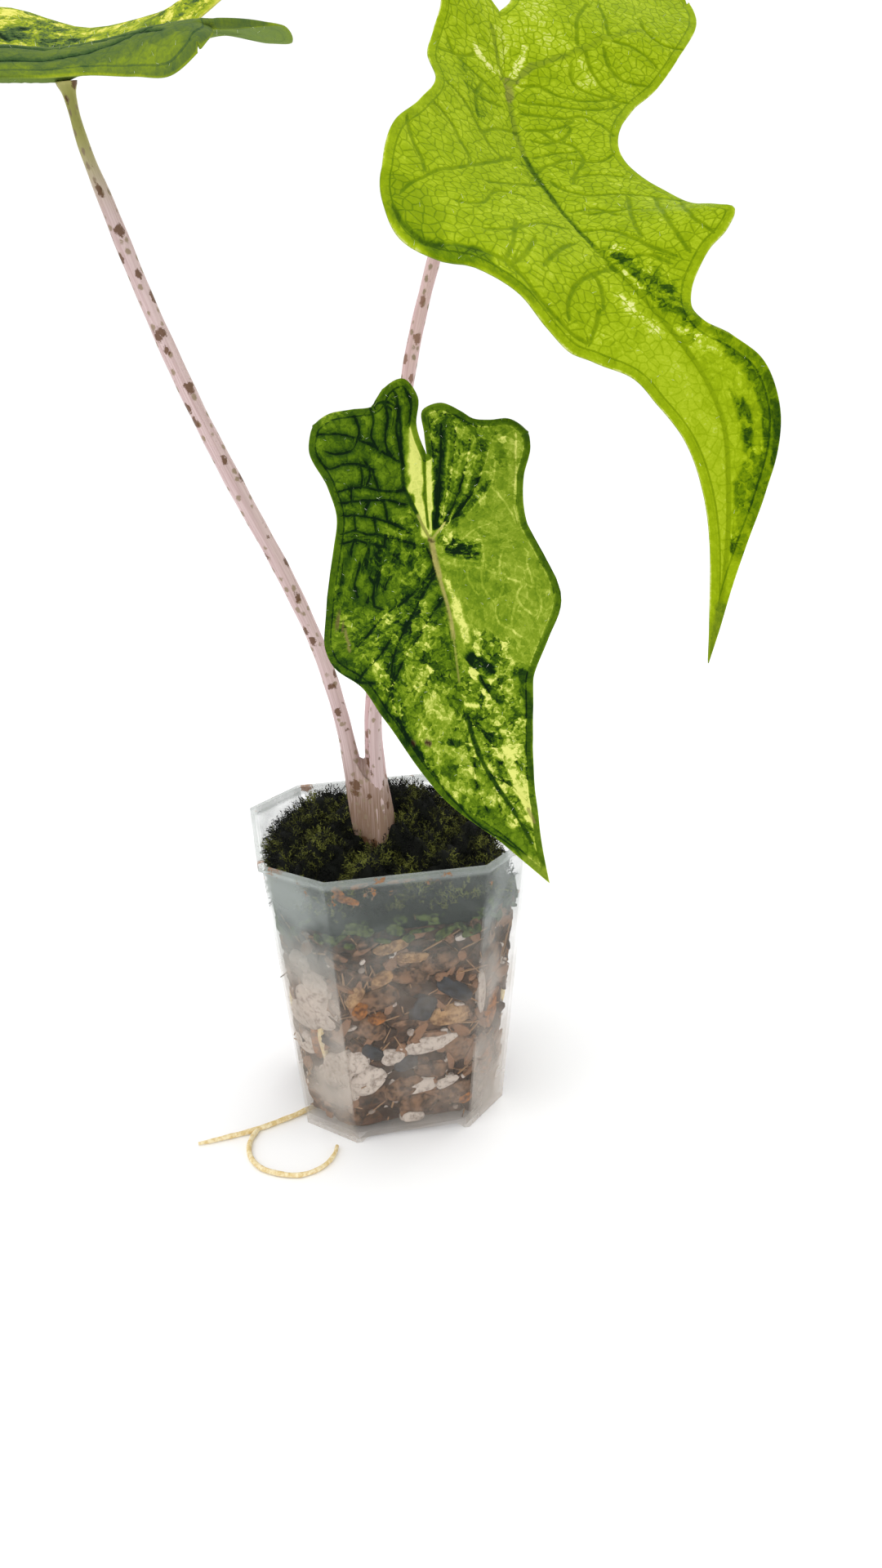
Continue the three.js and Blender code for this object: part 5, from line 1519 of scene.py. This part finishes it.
@dataclass
class Stalk:
    """A leaf stalk from the corm up to its blade's underside."""

    name: str
    node: str
    blade: Blade
    rows: Table  # x, y, z, radius
    foot: float = 82.0
    sides: int = 30
    step: float = 0.9  # mm between rings
    ridge: float = 0.05
    radius: float = 2.4  # of the pattern that the finish lays round it
    sink: float = 0.3  # mm that its end lies in the blade's rib
    seed: int = 1

    @property
    def route(self) -> Table:
        """Its stations from the corm up."""
        return [(*self.rows[0][:2], self.foot, self.rows[0][3]), *self.rows]

    def build(self) -> Object:
        """Builds the closed stalk, flared where it grows into its blade's rib."""
        aft, at, fore = self.blade.read(np.array([-1.0, 0.0, 1.0]))
        ahead = unit(fore[:3] - aft[:3])
        up = unit(at[3:6] - np.dot(at[3:6], ahead) * ahead)
        seat = at[:3] - up * (self.blade.thick / 2 + self.blade.rib_depth - self.sink)
        rows = [*self.route, (*seat, self.rows[-1][3] * 1.1)]
        total = running(np.array(rows)[:, :3])[-1]

        def widen(s: float, turns: Array) -> Array:
            """Fine ridges, soft swellings and a flare under the blade."""
            ridges = self.ridge * (np.sin(9 * turns + 0.02 * s) + 0.6 * np.sin(17 * turns + 1))
            painted_dome = 0.07 * math.sin(0.17 * s + self.seed) + 0.05 * math.sin(0.43 * s)
            slim = -0.35 * hump((total - s - 9) / 6)
            return ridges + painted_dome + slim + hump((total - s) / 2)

        rings, along = tube_rings(rows, self.sides, int(total / self.step), widen)
        way = unit((rings[-1] - rings[-2]).mean(0))
        short = ((seat - rings[-1]) @ up) / (way @ up)
        rings[-1] = rings[-1] + np.outer(short, way)
        made = mesh_object(self.name, *rings_mesh(rings))
        turn, s = np.tile(around(self.sides), len(along)), np.repeat(along, self.sides)
        place = circle(self.radius, turn, s + 40 * self.seed)[:, [2, 0, 1]]
        mark(made, "stalk", np.vstack([place, place[[0, -1]]]))
        mark(made, "share", np.concatenate([s / total, [0.0, 1.0]]))
        return made

    def make(self, finish: Material) -> None:
        """Builds and dresses the stalk."""
        dress(self.build(), finish, "stalk", self.node)


@dataclass
class Sheath:
    """The clasping foot of the stalks: one skin around all three, open in a V between the arms."""

    stalks: tuple[Stalk, ...]
    top: float = 133.0
    split: float = 9.0  # mm that the V dips below the top
    split_half: float = 2.2
    skin: float = 0.12  # mm that it stands off the stalks
    sides: int = 48
    step: float = 0.6

    def ring(self, z: float) -> Array:
        """Its ring at height z: the hull of the stalks there, narrower at the top."""
        turns = around(self.sides)
        ways = np.stack([np.cos(turns), np.sin(turns)], -1)
        across = np.stack([-np.sin(turns), np.cos(turns)], -1)
        tables = (np.array(stalk.route, float) for stalk in self.stalks)
        at = [smooth(table[:, 2], table, np.array([z]))[0] for table in tables]
        reach = np.max([ways @ a[:2] + a[3] for a in at], axis=0) + self.skin
        slope = (np.roll(reach, -1) - np.roll(reach, 1)) / (turns[2] - turns[0])
        hull = ways * reach[:, None] + across * slope[:, None]
        between = (at[0][:2] + at[1][:2]) / 2
        middle = between + np.array([0, 0.4])
        closing, end, dip = (ramp(self.top - low, self.top, z) for low in (14, 3, 12))
        ring = middle + (hull - middle) * (1 - 0.3 * closing - 0.3 * end)
        ring *= 1 + 0.012 * np.sin(5 * turns + 0.2 * z)[:, None]
        sag = self.split * dip * hump((ring[:, 0] - between[0]) / self.split_half)
        return np.column_stack([ring, z - sag])

    def make(self, finish: Material) -> None:
        """Builds the closed skin and dresses it."""
        foot = self.stalks[0].foot
        rings = np.array([self.ring(z) for z in np.arange(foot, self.top, self.step)])
        points, faces = rings_mesh(rings)
        made = mesh_object("stalk_sheath", points, faces)
        x, y, z = points.T
        turn = 2 * np.arctan2(y, x)
        # the stalks' pattern, taken from a stretch further along it
        mark(made, "stalk", np.stack([z - foot + 90, 2.4 * np.cos(turn), 0.9 * x], -1))
        mark(made, "share", (z - foot) / 300)
        dress(made, finish, "stalk")


STALK_FAR = [
    (-7.6, 4.6, 90, 2.9), (-7.6, 4.4, 98, 3.2), (-8.3, 4.1, 107.5, 3.4), (-9.4, 3.5, 120, 3.3),
    (-11.1, 2.8, 133, 2.9), (-13.3, 2.1, 146, 2.6), (-19, 1, 169, 2.5), (-29.5, 0.2, 197, 2.6),
    (-40.3, 0, 220.7, 2.7), (-53, -1.5, 250.7, 2.6), (-63.1, -2.6, 278.6, 2.4),
    (-71.4, -1.5, 304.8, 2.2), (-76.2, 0, 320.5, 1.8),
]
STALK_LARGE = [
    (-0.4, 2.4, 90, 3.1), (-0.3, 2.4, 98, 3.3), (-0.1, 3.1, 107, 3.6), (-1.5, 3.8, 119.3, 3.5),
    (-2.3, 3.3, 131.7, 3.3), (-2.2, 2.6, 144, 2.9), (0.3, 2.1, 166.8, 2.6),
    (4.8, 2.3, 194.2, 2.4), (10.4, 5.2, 230.2, 2.3), (17.6, 9.4, 264.7, 2.15),
    (24.2, 11.2, 286, 2.1), (31.2, 7.4, 307.6, 1.95), (38, 2.6, 322, 1.8),
]
STALK_SMALL = [
    (-2.4, -4.3, 90, 2.3), (-2.4, -4.2, 100, 2.4), (-2.2, -3.5, 109.6, 2.5),
    (-2.5, -3.1, 121.7, 2.4), (-2.8, -3.6, 134, 2.2), (-2.6, -5.2, 146, 2.1),
    (-0.8, -10, 160, 1.95), (2, -18.5, 174.5, 1.8), (5.1, -31, 189, 1.7),
    (7.1, -46.5, 201.5, 1.55), (7.8, -56, 207.5, 1.5),
]


# The pot and what it holds


@dataclass
class PotShape:
    """The pot's measures, as in the part's source."""

    height: float = 106
    rim_flats: float = 90
    base_flats: float = 72.6
    rim_corner: float = 18.2
    base_corner: float = 16
    wall: float = 1.0
    gap: float = 0.3
    floor_top: float = 3.8
    mix_level: float = 84
    mix_crown: float = 3
    moss_margin: float = 1.6

    @property
    def lean(self) -> float:
        """How far the wall leans out for each mm of height."""
        return (self.rim_flats - self.base_flats) / 2 / self.height

    def reach(self, z: Array, turn: Array) -> Array:
        """How far the pot's outer face is from the middle, in direction turn at height z."""
        share = z / self.height
        half = (self.base_flats + (self.rim_flats - self.base_flats) * share) / 2
        corner = self.base_corner + (self.rim_corner - self.base_corner) * share
        slant = (2 * half - corner) / math.sqrt(2)
        cos, sin = np.abs(np.cos(turn)), np.abs(np.sin(turn))
        diagonal = np.maximum((cos + sin) / math.sqrt(2), 0.01)
        return np.minimum.reduce(
            [half / np.maximum(cos, 0.01), half / np.maximum(sin, 0.01), slant / diagonal]
        )

    def inner(self, z: Array, turn: Array) -> Array:
        """How far what the pot holds may reach, in direction turn at height z."""
        return self.reach(z, turn) - self.wall - self.gap

    def mix_top(self, x: Array, y: Array) -> Array:
        """Height of the mix's top."""
        far = np.minimum(np.hypot(x, y) / 42, 1)
        rough = 0.25 * np.sin(0.41 * x + 1) * np.cos(0.37 * y)
        return self.mix_level + self.mix_crown * (1 - far * far) + rough

    def moss_reach(self, turn: Array) -> Array:
        """How far the moss reaches."""
        return self.reach(self.mix_level, turn) - self.wall - self.moss_margin


POT = PotShape()
SPRIGS_FROM = 88.5  # height above which the moss carries sprigs


@dataclass
class NurseryPot:
    """The clear pot: the CAD solid with its edges eased."""

    ease: float = 0.45
    segments: int = 3
    sharp: float = 20.0  # degrees, from which an edge is eased
    weld: float = 1e-6  # metres
    flat: float = 0.5  # degrees, under which faces are merged

    def make(self, finish: Material) -> None:
        """Copies the solid, merges its triangles, eases its edges and dresses it."""
        mesh = frame["nodes"]["pot"].data.copy()
        mesh.name = "nursery_pot"
        shape = bmesh.new()
        shape.from_mesh(mesh)
        bmesh.ops.remove_doubles(shape, verts=shape.verts, dist=self.weld)
        bmesh.ops.dissolve_limit(
            shape, angle_limit=math.radians(self.flat), verts=shape.verts, edges=shape.edges
        )
        shape.to_mesh(mesh)
        shape.free()
        made = new_object("nursery_pot", mesh)
        bevel = made.modifiers.new("ease", "BEVEL")
        bevel.width, bevel.segments, bevel.limit_method = self.ease * MM, self.segments, "ANGLE"
        bevel.angle_limit = math.radians(self.sharp)
        dress(made, finish, "pot_clear", "pot")


@dataclass
class PottingMix:
    """The body of mix: crumbly against the wall, lumpy on top."""

    turns: int = 220
    rings: int = 70
    top_rings: int = 12
    inset: float = 1.9

    def side(self, turn: Array, z: float) -> Array:
        """Distance of the mix's side from the middle."""
        lumps = np.sin(7 * turn + 0.13 * z) * np.sin(0.21 * z + 3 * turn)
        fine = 0.6 * ripple(turn * 40, np.full_like(turn, z), 5, 3, 4)
        return POT.inner(np.array(z), turn) - self.inset - 0.7 * (1 + lumps) + fine

    def make(self, finish: Material) -> None:
        """Builds and dresses the body."""
        turn = around(self.turns)
        bottom = POT.floor_top + POT.gap
        rings = [circle(self.side(turn, bottom) - 1.5, turn, bottom)]
        for z in np.linspace(bottom + 1.5, POT.mix_level - 2.5, self.rings):
            rings.append(circle(self.side(turn, z), turn, z))
        for k in range(self.top_rings, 0, -1):
            far = POT.moss_reach(turn) * k / self.top_rings
            top = POT.mix_top(far * np.cos(turn), far * np.sin(turn))
            rings.append(circle(far, turn, top))
        made = mesh_object("mix_body", *rings_mesh(np.array(rings)))
        dress(made, finish, "mix", "potting_mix")


def chip_tree() -> GrowTree:
    """Tree that lays flat-sided chips on a guide surface, each turned and sized at random."""
    grow = GrowTree(
        "mix_chips", Density="Float", Least="Vector", Most="Vector", Tilt="Float", Rough="Float",
        Seed="Int",
    )
    tilt, rough, seed = (grow.size(label) for label in ("Tilt", "Rough", "Seed"))
    back = grow.put(MATH, (tilt, -1.0), operation="MULTIPLY")
    ends = ((back, back, -3.14), (tilt, tilt, 3.14))
    lean = [grow.put("ShaderNodeCombineXYZ", end) for end in ends]
    # a chip: a block of 4 x 3 x 2 points, narrower at its ends and shaken out of shape
    sizes = {"Size": (1.0, 1.0, 1.0), "Vertices X": 4, "Vertices Y": 3, "Vertices Z": 2}
    block = grow.put("GeometryNodeMeshCube", sizes)
    place = grow.put("GeometryNodeInputPosition")
    long_way = grow.put(SPLIT, (place,))
    narrow = grow.put(MATH, (long_way, long_way), operation="MULTIPLY")
    narrow = grow.put(RANGE, (narrow, 0.0, 0.25, 1.0, 0.5))
    taper = grow.put("ShaderNodeCombineXYZ", (1.0, narrow, narrow))
    shape = grow.put(VECTOR, (place, taper), operation="MULTIPLY")
    noise = grow.put(NOISE, {"Vector": place, "Scale": 2.1, "Detail": 2.0}).outputs["Color"]
    shake = grow.put(VECTOR, (noise, (0.5, 0.5, 0.5)), operation="SUBTRACT")
    shake = grow.put(VECTOR, {0: shake, "Scale": rough}, operation="SCALE")
    chip = grow.put("GeometryNodeSetPosition", {0: block, "Position": shape, "Offset": shake})
    tone = grow.put("FunctionNodeRandomValue", {2: -1.0, 3: 1.0, "Seed": 3}, data_type="FLOAT")
    size = grow.size("Least"), grow.size("Most")
    grow.scatter(chip, lean, seed, size=size, tone=tone.outputs[1])
    return grow


class Crumb(Enum):
    """What a larger piece of the mix is made of."""

    BARK = CrumbSkin("pine_bark_piece", "#2c1c12", "#806048", 3.0, bump=0.6)
    TAN_BARK = CrumbSkin("pine_bark_fresh", "#6b4a2e", "#b08c62", 2.5, bump=0.5)
    PUMICE = CrumbSkin("pumice_piece", "#85776c", "#c8bbb0", 2.0, bump=0.6, spread=(0.3, 0.55))
    CHARCOAL = CrumbSkin("charcoal_piece", "#0c0e11", "#30363e", 3.0, rough=0.55, bump=0.5)
    RUSTY = CrumbSkin("bark_sliver_orange", "#4d2a0f", "#a8692c", 2.0, bump=0.4)
    MOSS = CrumbSkin("moss_tuft_pressed", "#141a0a", "#59642f", 2.2, bump=0.4)


@dataclass(frozen=True)
class Lump:
    """One larger piece that lies against the wall: where round and how high, and its sizes."""

    kind: Crumb
    turn: float  # degrees round the pot
    high: float
    long: float
    wide: float
    tilt: float = 0.0  # degrees, rising to the viewer's right
    deep: float = 3.0


LUMPS = tuple(
    Lump(kind, *row)
    for kind, rows in (
        (Crumb.PUMICE, (
            (-78.8, 36.8, 19, 6.5, 14), (-119, 33, 15, 12, 20), (-134.6, 62, 11, 13, 80),
            (-131, 49, 9, 8, 10), (-124.5, 18.7, 9, 7, 40), (-53.4, 54, 5, 17, 5),
            (-141, 70, 7, 9, 70), (-71, 20, 8, 4, 25), (-146, 36, 8, 11, 60),
            (-112, 24, 13, 10, 50), (-137, 55, 10, 14, 85), (-128, 28, 10, 12, 75),
            (-142, 48, 9, 12, 80), (-134, 25, 8, 9, 20), (-86, 20, 12, 6, 8),
            (-99, 33, 8, 6, -15), (-90, 6.5, 9, 5, 5), (20, 50, 15, 9, 10), (75, 30, 16, 10, -20),
            (120, 62, 13, 8, 35), (170, 24, 14, 9, 12), (-20, 66, 11, 7, 15), (48, 70, 10, 7, 5),
        )),
        (Crumb.CHARCOAL, (
            (-68.6, 58.5, 15, 6.5, -38), (-83.5, 52, 9, 12, -20), (-132.5, 40, 4, 12, 80),
            (-109, 36.5, 5, 9, 60), (-93, 30, 8, 5, 20), (5, 30, 12, 7, 30), (95, 60, 13, 8, -25),
            (150, 45, 12, 7, 15),
        )),
        (Crumb.TAN_BARK, (
            (-69.4, 48, 13, 8, 10), (-115, 60, 9, 6, 50), (-97, 78, 11, 4, 12, 2),
            (-87, 73, 12, 4, -8, 2), (-102, 66, 9, 5, 30), (60, 48, 14, 7, 20),
            (-3, 74, 12, 6, 5), (140, 20, 12, 7, 25),
        )),
        (Crumb.RUSTY, (
            (-43, 43, 7, 14, 5), (-43, 21, 6, 15, 8), (-139, 37.6, 4, 14, 4),
            (-113, 55, 8, 6, 60), (-106, 50, 6, 4, 20), (-62, 12, 6, 5, 20),
            (-114, 98, 8, 2.6, -24, 0.7), (-109, 102.6, 6, 1.8, 8, 0.7),
            (-117, 101.5, 5, 1.8, -40, 0.6), (-92, 103, 8, 1.2, 2, 0.5),
        )),
        (Crumb.BARK, (
            (-104, 58, 13, 8, 15), (-90, 66, 15, 7, -12), (-76, 70, 14, 8, 8),
            (-93, 20, 15, 9, 25), (-86, 12, 12, 8, -15), (-66, 34, 9, 10, 40),
            (-66, 14, 12, 9, 10), (-142, 15, 12, 8, 30), (-108, 46, 10, 8, -30),
            (-78, 26, 11, 6, -10), (-126, 8, 12, 6, 10), (-50, 30, 8, 9, 20),
            (-47, 66, 8, 12, 80), (-46, 11, 8, 8, 40),
        )),
    )
    for row in rows
)
TUFTS = tuple(
    Lump(
        Crumb.MOSS,
        turn=5.0 * k + 2.0 * math.sin(7 * k) - 180,
        high=83.4 + 2.6 * math.sin(2.3 * k) + 1.4 * math.sin(5.1 * k),
        long=5.5 + 2.5 * math.sin(3.7 * k),
        wide=2.6 + 1.2 * math.sin(1.9 * k),
        tilt=40 * math.sin(4.3 * k),
        deep=1.2,
    )
    for k in range(72)
)


@dataclass
class ChipMix:
    """Bark, pumice, charcoal and fibre that show through the wall."""

    inset: float = 2.0  # mm from the wall's inner face to the chips' middles
    sides: int = 18
    up: int = 11
    corner: float = 30.8  # degrees from a flat side's middle to where a slanted corner starts
    guide_sides: int = 96
    guide_rings: int = 30
    lumps: tuple[Lump, ...] = LUMPS + TUFTS

    def guide(self) -> Object:
        """The surface that the chips lie on: the wall's inner face, moved in."""
        turn, n = around(self.guide_sides), self.guide_sides
        rings = [
            circle(POT.inner(np.array(z), turn) - self.inset, turn, z)
            for z in np.linspace(POT.floor_top + 3.5, POT.mix_level - 1, self.guide_rings)
        ]
        faces = [
            (r * n + i, r * n + (i + 1) % n, (r + 1) * n + (i + 1) % n, (r + 1) * n + i)
            for r in range(len(rings) - 1)
            for i in range(n)
        ]
        return mesh_object("chip_guide", np.vstack(rings), faces)

    def lump(self, one: Lump, seed: int) -> Body:
        """One larger piece: a rough, flattened, closed body against the wall."""
        turns, rises = around(self.sides), np.linspace(-0.5, 0.5, self.up + 2)[1:-1] * np.pi
        ball, faces = rings_mesh(np.array([circle(np.cos(r), turns, np.sin(r)) for r in rises]))
        boxy = np.sign(ball) * np.abs(ball) ** 0.75
        boxy[:, :2] *= 1 + 0.3 * ripple(ball[:, :1] + 2 * ball[:, 2:], ball[:, 1:2], 1.1, seed)
        boxy[:, 2] *= 1 + 0.25 * ripple(ball[:, 0], ball[:, 1], 0.8, seed + 1)
        x, y, z = (boxy * np.array([one.long, one.wide, one.deep]) / 2).T
        lean = math.radians(one.tilt)
        cos, sin = math.cos(lean), math.sin(lean)
        body = np.stack([x * cos - y * sin, x * sin + y * cos, z], -1)
        # it lies flat on the nearest of the pot's eight sides
        facet = round(one.turn / 90) * 90
        if abs(one.turn - facet) > self.corner:
            facet = math.floor(one.turn / 90) * 90 + 45
        way = math.radians(facet)
        out = unit(np.array([math.cos(way), math.sin(way), -POT.lean]))
        side = unit(np.cross([0, 0, 1.0], out))
        turn = math.radians(one.turn)
        far = float(POT.inner(np.array(one.high), np.array(turn))) - 0.2
        middle = np.array([far * math.cos(turn), far * math.sin(turn), one.high])
        middle -= out * one.deep / 2
        placed = middle + body @ np.array([side, np.cross(out, side), out])
        # nothing reaches into the wall or out of the mix's height
        angle = np.arctan2(placed[:, 1], placed[:, 0])
        top = POT.mix_level + 1 if one.high < POT.mix_level else POT.height - 1
        placed[:, 2] = np.clip(placed[:, 2], POT.floor_top + 0.8, top)
        limit = POT.inner(placed[:, 2], angle) - 0.1
        placed[:, :2] *= np.minimum(1, limit / np.hypot(placed[:, 0], placed[:, 1]))[:, None]
        return placed, faces

    def make(self, tree: GrowTree) -> None:
        """Lays each kind of chip and dresses it."""
        guide = self.guide()
        for skin, density, least, most, tilt, rough, seed in (
            (CrumbSkin("pine_bark_damp", "#2f1e14", "#86634a", 3.0), 24000.0,
             (3, 2, 1.0), (11, 5, 2.4), 0.14, 0.5, 4),
            (CrumbSkin("coir_fibre_brown", "#4a3322", "#9c7a5a", 2.0), 30000.0,
             (6, 0.35, 0.35), (17, 0.8, 0.8), 0.1, 0.3, 9),
            (CrumbSkin("pumice_grit", "#8a7c72", "#c9bdb3", 2.0), 9000.0,
             (1.2, 1.0, 0.8), (4.5, 3, 2.0), 0.1, 0.5, 15),
        ):
            finish = skin.make()
            sizes = {"Density": density, "Tilt": tilt, "Rough": rough, "Seed": seed}
            for label, size in (("Least", least), ("Most", most)):
                sizes[label] = tuple(c * MM for c in size)
            name = skin.name.split("_")[0] + "_bits"
            dress(tree.grow(guide, name, **sizes, Material=finish), finish, "mix")
        drop(guide)
        for kind in Crumb:
            bodies = [self.lump(one, k) for k, one in enumerate(self.lumps) if one.kind is kind]
            made = mesh_object(kind.name.lower() + "_lumps", *joined(bodies))
            dress(made, kind.value.make(), "moss" if kind is Crumb.MOSS else "mix")


@dataclass
class MossCushion:
    """Dark moss cushion with sprigs."""

    turns: int = 200
    rings: int = 60
    under_rings: int = 8
    thick: float = 13
    rise: float = 0.26
    least: float = 4
    sprigs: float = 420000.0  # for each square metre

    def height(self, x: Array, y: Array, share: Array) -> Array:
        """Height of the moss over the mix, as in the part's source, with finer lumps."""
        cushions = (
            2.6 * np.sin(0.24 * x + 0.6) * np.sin(0.21 * y + 2.1)
            + 1.5 * np.sin(0.47 * x - 0.35 * y)
            + 0.8 * np.sin(0.9 * x + 0.5 * y + 2)
        )
        edge = np.sqrt(np.maximum(1 - share**6, 0))
        fine = 0.9 * ripple(x, y, 4, 8, 4)
        return np.maximum(self.thick + self.rise * y + cushions + fine, self.least) * edge + 0.9

    def body(self) -> Body:
        """The cushion's underside, side and top."""
        turn = around(self.turns)
        reach, cos, sin = POT.moss_reach(turn), np.cos(turn), np.sin(turn)
        rings = []
        for k in range(1, self.under_rings + 1):
            far = reach * k / self.under_rings
            rings.append(circle(far, turn, POT.mix_top(far * cos, far * sin) + 2 * POT.gap))
        for k in range(self.rings, 0, -1):
            share = 1 - (1 - k / self.rings) ** 1.5
            far = reach * share
            x, y = far * cos, far * sin
            high = self.height(x, y, share)
            spread = 1 + POT.lean * high * share / np.maximum(far, 1)
            base = POT.mix_top(x, y) + 2 * POT.gap
            rings.append(np.stack([x * spread, y * spread, base + high], -1))
        return rings_mesh(np.array(rings))

    def make(self, finish: Material, tree: GrowTree, sprig_finish: Material) -> None:
        """Builds the cushion and its sprigs and dresses both."""
        points, faces = self.body()
        made = mesh_object("moss_cushion", points, faces)
        # paler shoots press against the wall, low on the cushion's side
        x, y, z = points.T
        rim = ramp(0.88, 0.99, np.hypot(x, y) / POT.moss_reach(np.arctan2(y, x)))
        tufts = ripple(x + y, z, 3.4, 21, 4)
        low = ramp(POT.mix_level + 12, POT.mix_level + 3, z + 3 * tufts)
        mark(made, "bit", -0.9 + 1.3 * rim * low * (0.4 + 1.1 * tufts))
        dress(made, finish, "moss", "moss_top")
        sprig = self.sprig()
        sizes = {"Density": self.sprigs, "Sprig": sprig, "Seed": 6, "Material": sprig_finish}
        dress(tree.grow(made, "moss_sprigs", **sizes), sprig_finish, "moss")
        drop(sprig)

    def sprig(self) -> Object:
        """One moss sprig: a bent stem's seven pointed leaflets, a few dozen faces."""
        points, faces = [], []
        thick = np.array([0, 0, 0.1])
        for k in range(7):
            s, way, n = k / 6, 2.4 * k, len(points)
            base = np.array([0.5 * s * s, 0, 3.2 * s])
            out = np.array([math.cos(way), math.sin(way), 0.9])
            side = np.array([-math.sin(way), math.cos(way), 0]) * 0.22
            tip = base + out * 1.15 * (1 - 0.45 * s)
            points += [base - side - thick, base + side - thick, base + thick, tip]
            ends = ((0, 2, 1), (0, 1, 3), (1, 2, 3), (2, 0, 3))
            faces += [tuple(n + i for i in end) for end in ends]
        return mesh_object("sprig", np.array(points), faces, flat=True)


def sprig_tree() -> GrowTree:
    """Tree that sets moss sprigs on the upper part of a cushion."""
    grow = GrowTree("moss_sprigs", Density="Float", Sprig="Object", Seed="Int")
    z = grow.put(SPLIT, (grow.put("GeometryNodeInputPosition"),)).outputs[2]
    high = grow.put("FunctionNodeCompare", (z, SPRIGS_FROM * MM), operation="GREATER_THAN")
    # the moss stands in clumps, some nearly black and some pale green
    tone = grow.put("FunctionNodeRandomValue", {2: -0.6, 3: 0.6, "Seed": 3}, data_type="FLOAT")
    clumps = grow.put(NOISE, {"Scale": 105.0, "Detail": 2.5})
    clumps = grow.put(RANGE, (clumps, 0.36, 0.66, -1.1, 1.0))
    tone = grow.put(MATH, (tone.outputs[1], clumps), operation="ADD")
    sprig = grow.put("GeometryNodeObjectInfo", {"Object": grow.size("Sprig")})
    lean = ((-0.7, -0.7, -3.1), (0.7, 0.7, 3.1))
    grow.scatter(sprig.outputs["Geometry"], lean, 5, where=high, tone=tone)
    return grow


@dataclass
class Rootstock:
    """Corm and roots, with the root that lies on the ground and its loop."""

    sides: int = 12
    step: float = 0.8  # mm between rings
    corm_low: float = 57.7
    corm_sides: int = 40
    corm_rings: int = 24
    corm: Table = field(  # radius and height over its lowest point
        default_factory=lambda: [(0.6, 0), (5.5, 1.2), (9.5, 6), (11, 14), (10, 22), (9, 24)]
    )
    corm_place: tuple[float, float] = (-3.5, 1)
    routes: list = field(
        default_factory=lambda: [
            [(-6, 1, 62, 2.2), (-17, -1, 42, 1.8), (-21, 0.6, 22, 1.4), (-21.2, 1.2, 9, 1.1),
             (-21.4, 0.9, 4, 0.9), (-22.4, -1.2, 1.5, 0.85), (-25.6, -5.4, 1.2, 0.85),
             (-30.5, -10.6, 1.2, 0.9), (-37, -14.6, 1.2, 0.95), (-46, -18.6, 1.2, 0.95),
             (-56, -22, 1.2, 0.95), (-66, -23.8, 1.1, 0.85), (-75.5, -25, 0.9, 0.6)],
            [(-8, -4, 64, 2), (-20, -20, 56, 1.6), (-29.4, -28.6, 44, 1.3),
             (-27.8, -27.2, 28, 1.1), (-25.6, -26.4, 14, 0.8)],
            [(2, -2, 64, 2.1), (20, -12, 60, 1.7), (36.6, -17, 48, 1.4), (35.6, -16, 32, 1.2),
             (33.6, -12, 14, 0.8)],
            [(0, 8, 64, 2), (10, 24, 52, 1.5), (15, 36, 36, 1.2), (12, 33, 16, 0.8)],
            [(-8, 8, 64, 2), (-24, 16, 54, 1.5), (-36, 14, 38, 1.2), (-33, 12, 14, 0.8)],
            [(-54, -21.3, 1.2, 0.9), (-57, -27, 1.2, 0.9), (-58, -35, 1.15, 0.9),
             (-55, -43, 1.15, 0.9), (-48, -48.5, 1.15, 0.9), (-41, -50.5, 1.1, 0.85),
             (-34, -48, 1.1, 0.8), (-29.5, -43, 1.05, 0.75), (-27.6, -37.5, 1, 0.6)],
        ]
    )

    def make(self, finish: Material) -> None:
        """Builds and dresses the rootstock."""
        parts = []
        for k, route in enumerate(self.routes):
            length = running(np.array(route, float)[:, :3])[-1]

            def widen(s: float, turns: Array) -> Array:
                """Soft swellings along a root."""
                return 0.04 * math.sin(0.9 * s + k) + 0.03 * np.sin(3 * turns + 0.6 * s)

            rings, _ = tube_rings(route, self.sides, int(length / self.step), widen)
            parts.append(rings_mesh(rings))
        bulb = np.array(self.corm)
        knots = running(bulb)
        fine = smooth(knots, bulb, np.linspace(0, knots[-1], self.corm_rings))
        place, turn = np.array([*self.corm_place, self.corm_low]), around(self.corm_sides)
        parts.append(rings_mesh(np.array([place + circle(r, turn, z) for r, z in fine])))
        dress(mesh_object("root_system", *joined(parts)), finish, "root", "rootstock")


def main() -> None:
    """Builds the scene and every piece in order."""
    logging.basicConfig(level=logging.INFO, format="%(message)s")
    Studio().build()
    relief, hairs = relief_tree(), hair_tree()
    down = CrumbSkin("plant_hair_silvery", "#dfe6cf", "#f4f6ea", 1.0, rough=0.5).make()
    for blade in (SMALL_BLADE, LARGE_BLADE, FAR_BLADE):
        blade.make(relief, hairs, down)
    mottled = StalkSkin("alocasia_stalk_mottled").make()
    stalks = (
        Stalk("stalk_far", "petiole_1", FAR_BLADE, STALK_FAR, seed=1),
        Stalk("stalk_large", "petiole_2", LARGE_BLADE, STALK_LARGE, seed=2),
        Stalk("stalk_small", "petiole_3", SMALL_BLADE, STALK_SMALL, seed=3),
    )
    pink = StalkSkin("alocasia_stalk_pink", flesh="#dcbdbe", streak="#c19d9e", bar="#8b6858")
    for stalk, finish in zip(stalks, (mottled, pink.make(), mottled)):
        stalk.make(finish)
    Sheath(stalks).make(mottled)
    NurseryPot().make(ClearPlastic().make())
    PottingMix().make(CrumbSkin("potting_mix_damp", "#20140d", "#5e4230", 2.5).make())
    ChipMix().make(chip_tree())
    tips = CrumbSkin("moss_sprig_tips", "#050803", "#747834", 9.0, bump=0.1, spread=(0.36, 0.95))
    shaded = CrumbSkin("moss_shaded", "#070a04", "#55642c", 2.6)
    MossCushion().make(shaded.make(), sprig_tree(), tips.make())
    Rootstock().make(CrumbSkin("root_skin_pale", "#d8bd82", "#efe2bd", 1.5, bump=0.1).make())


if __name__ == "__main__":
    main()
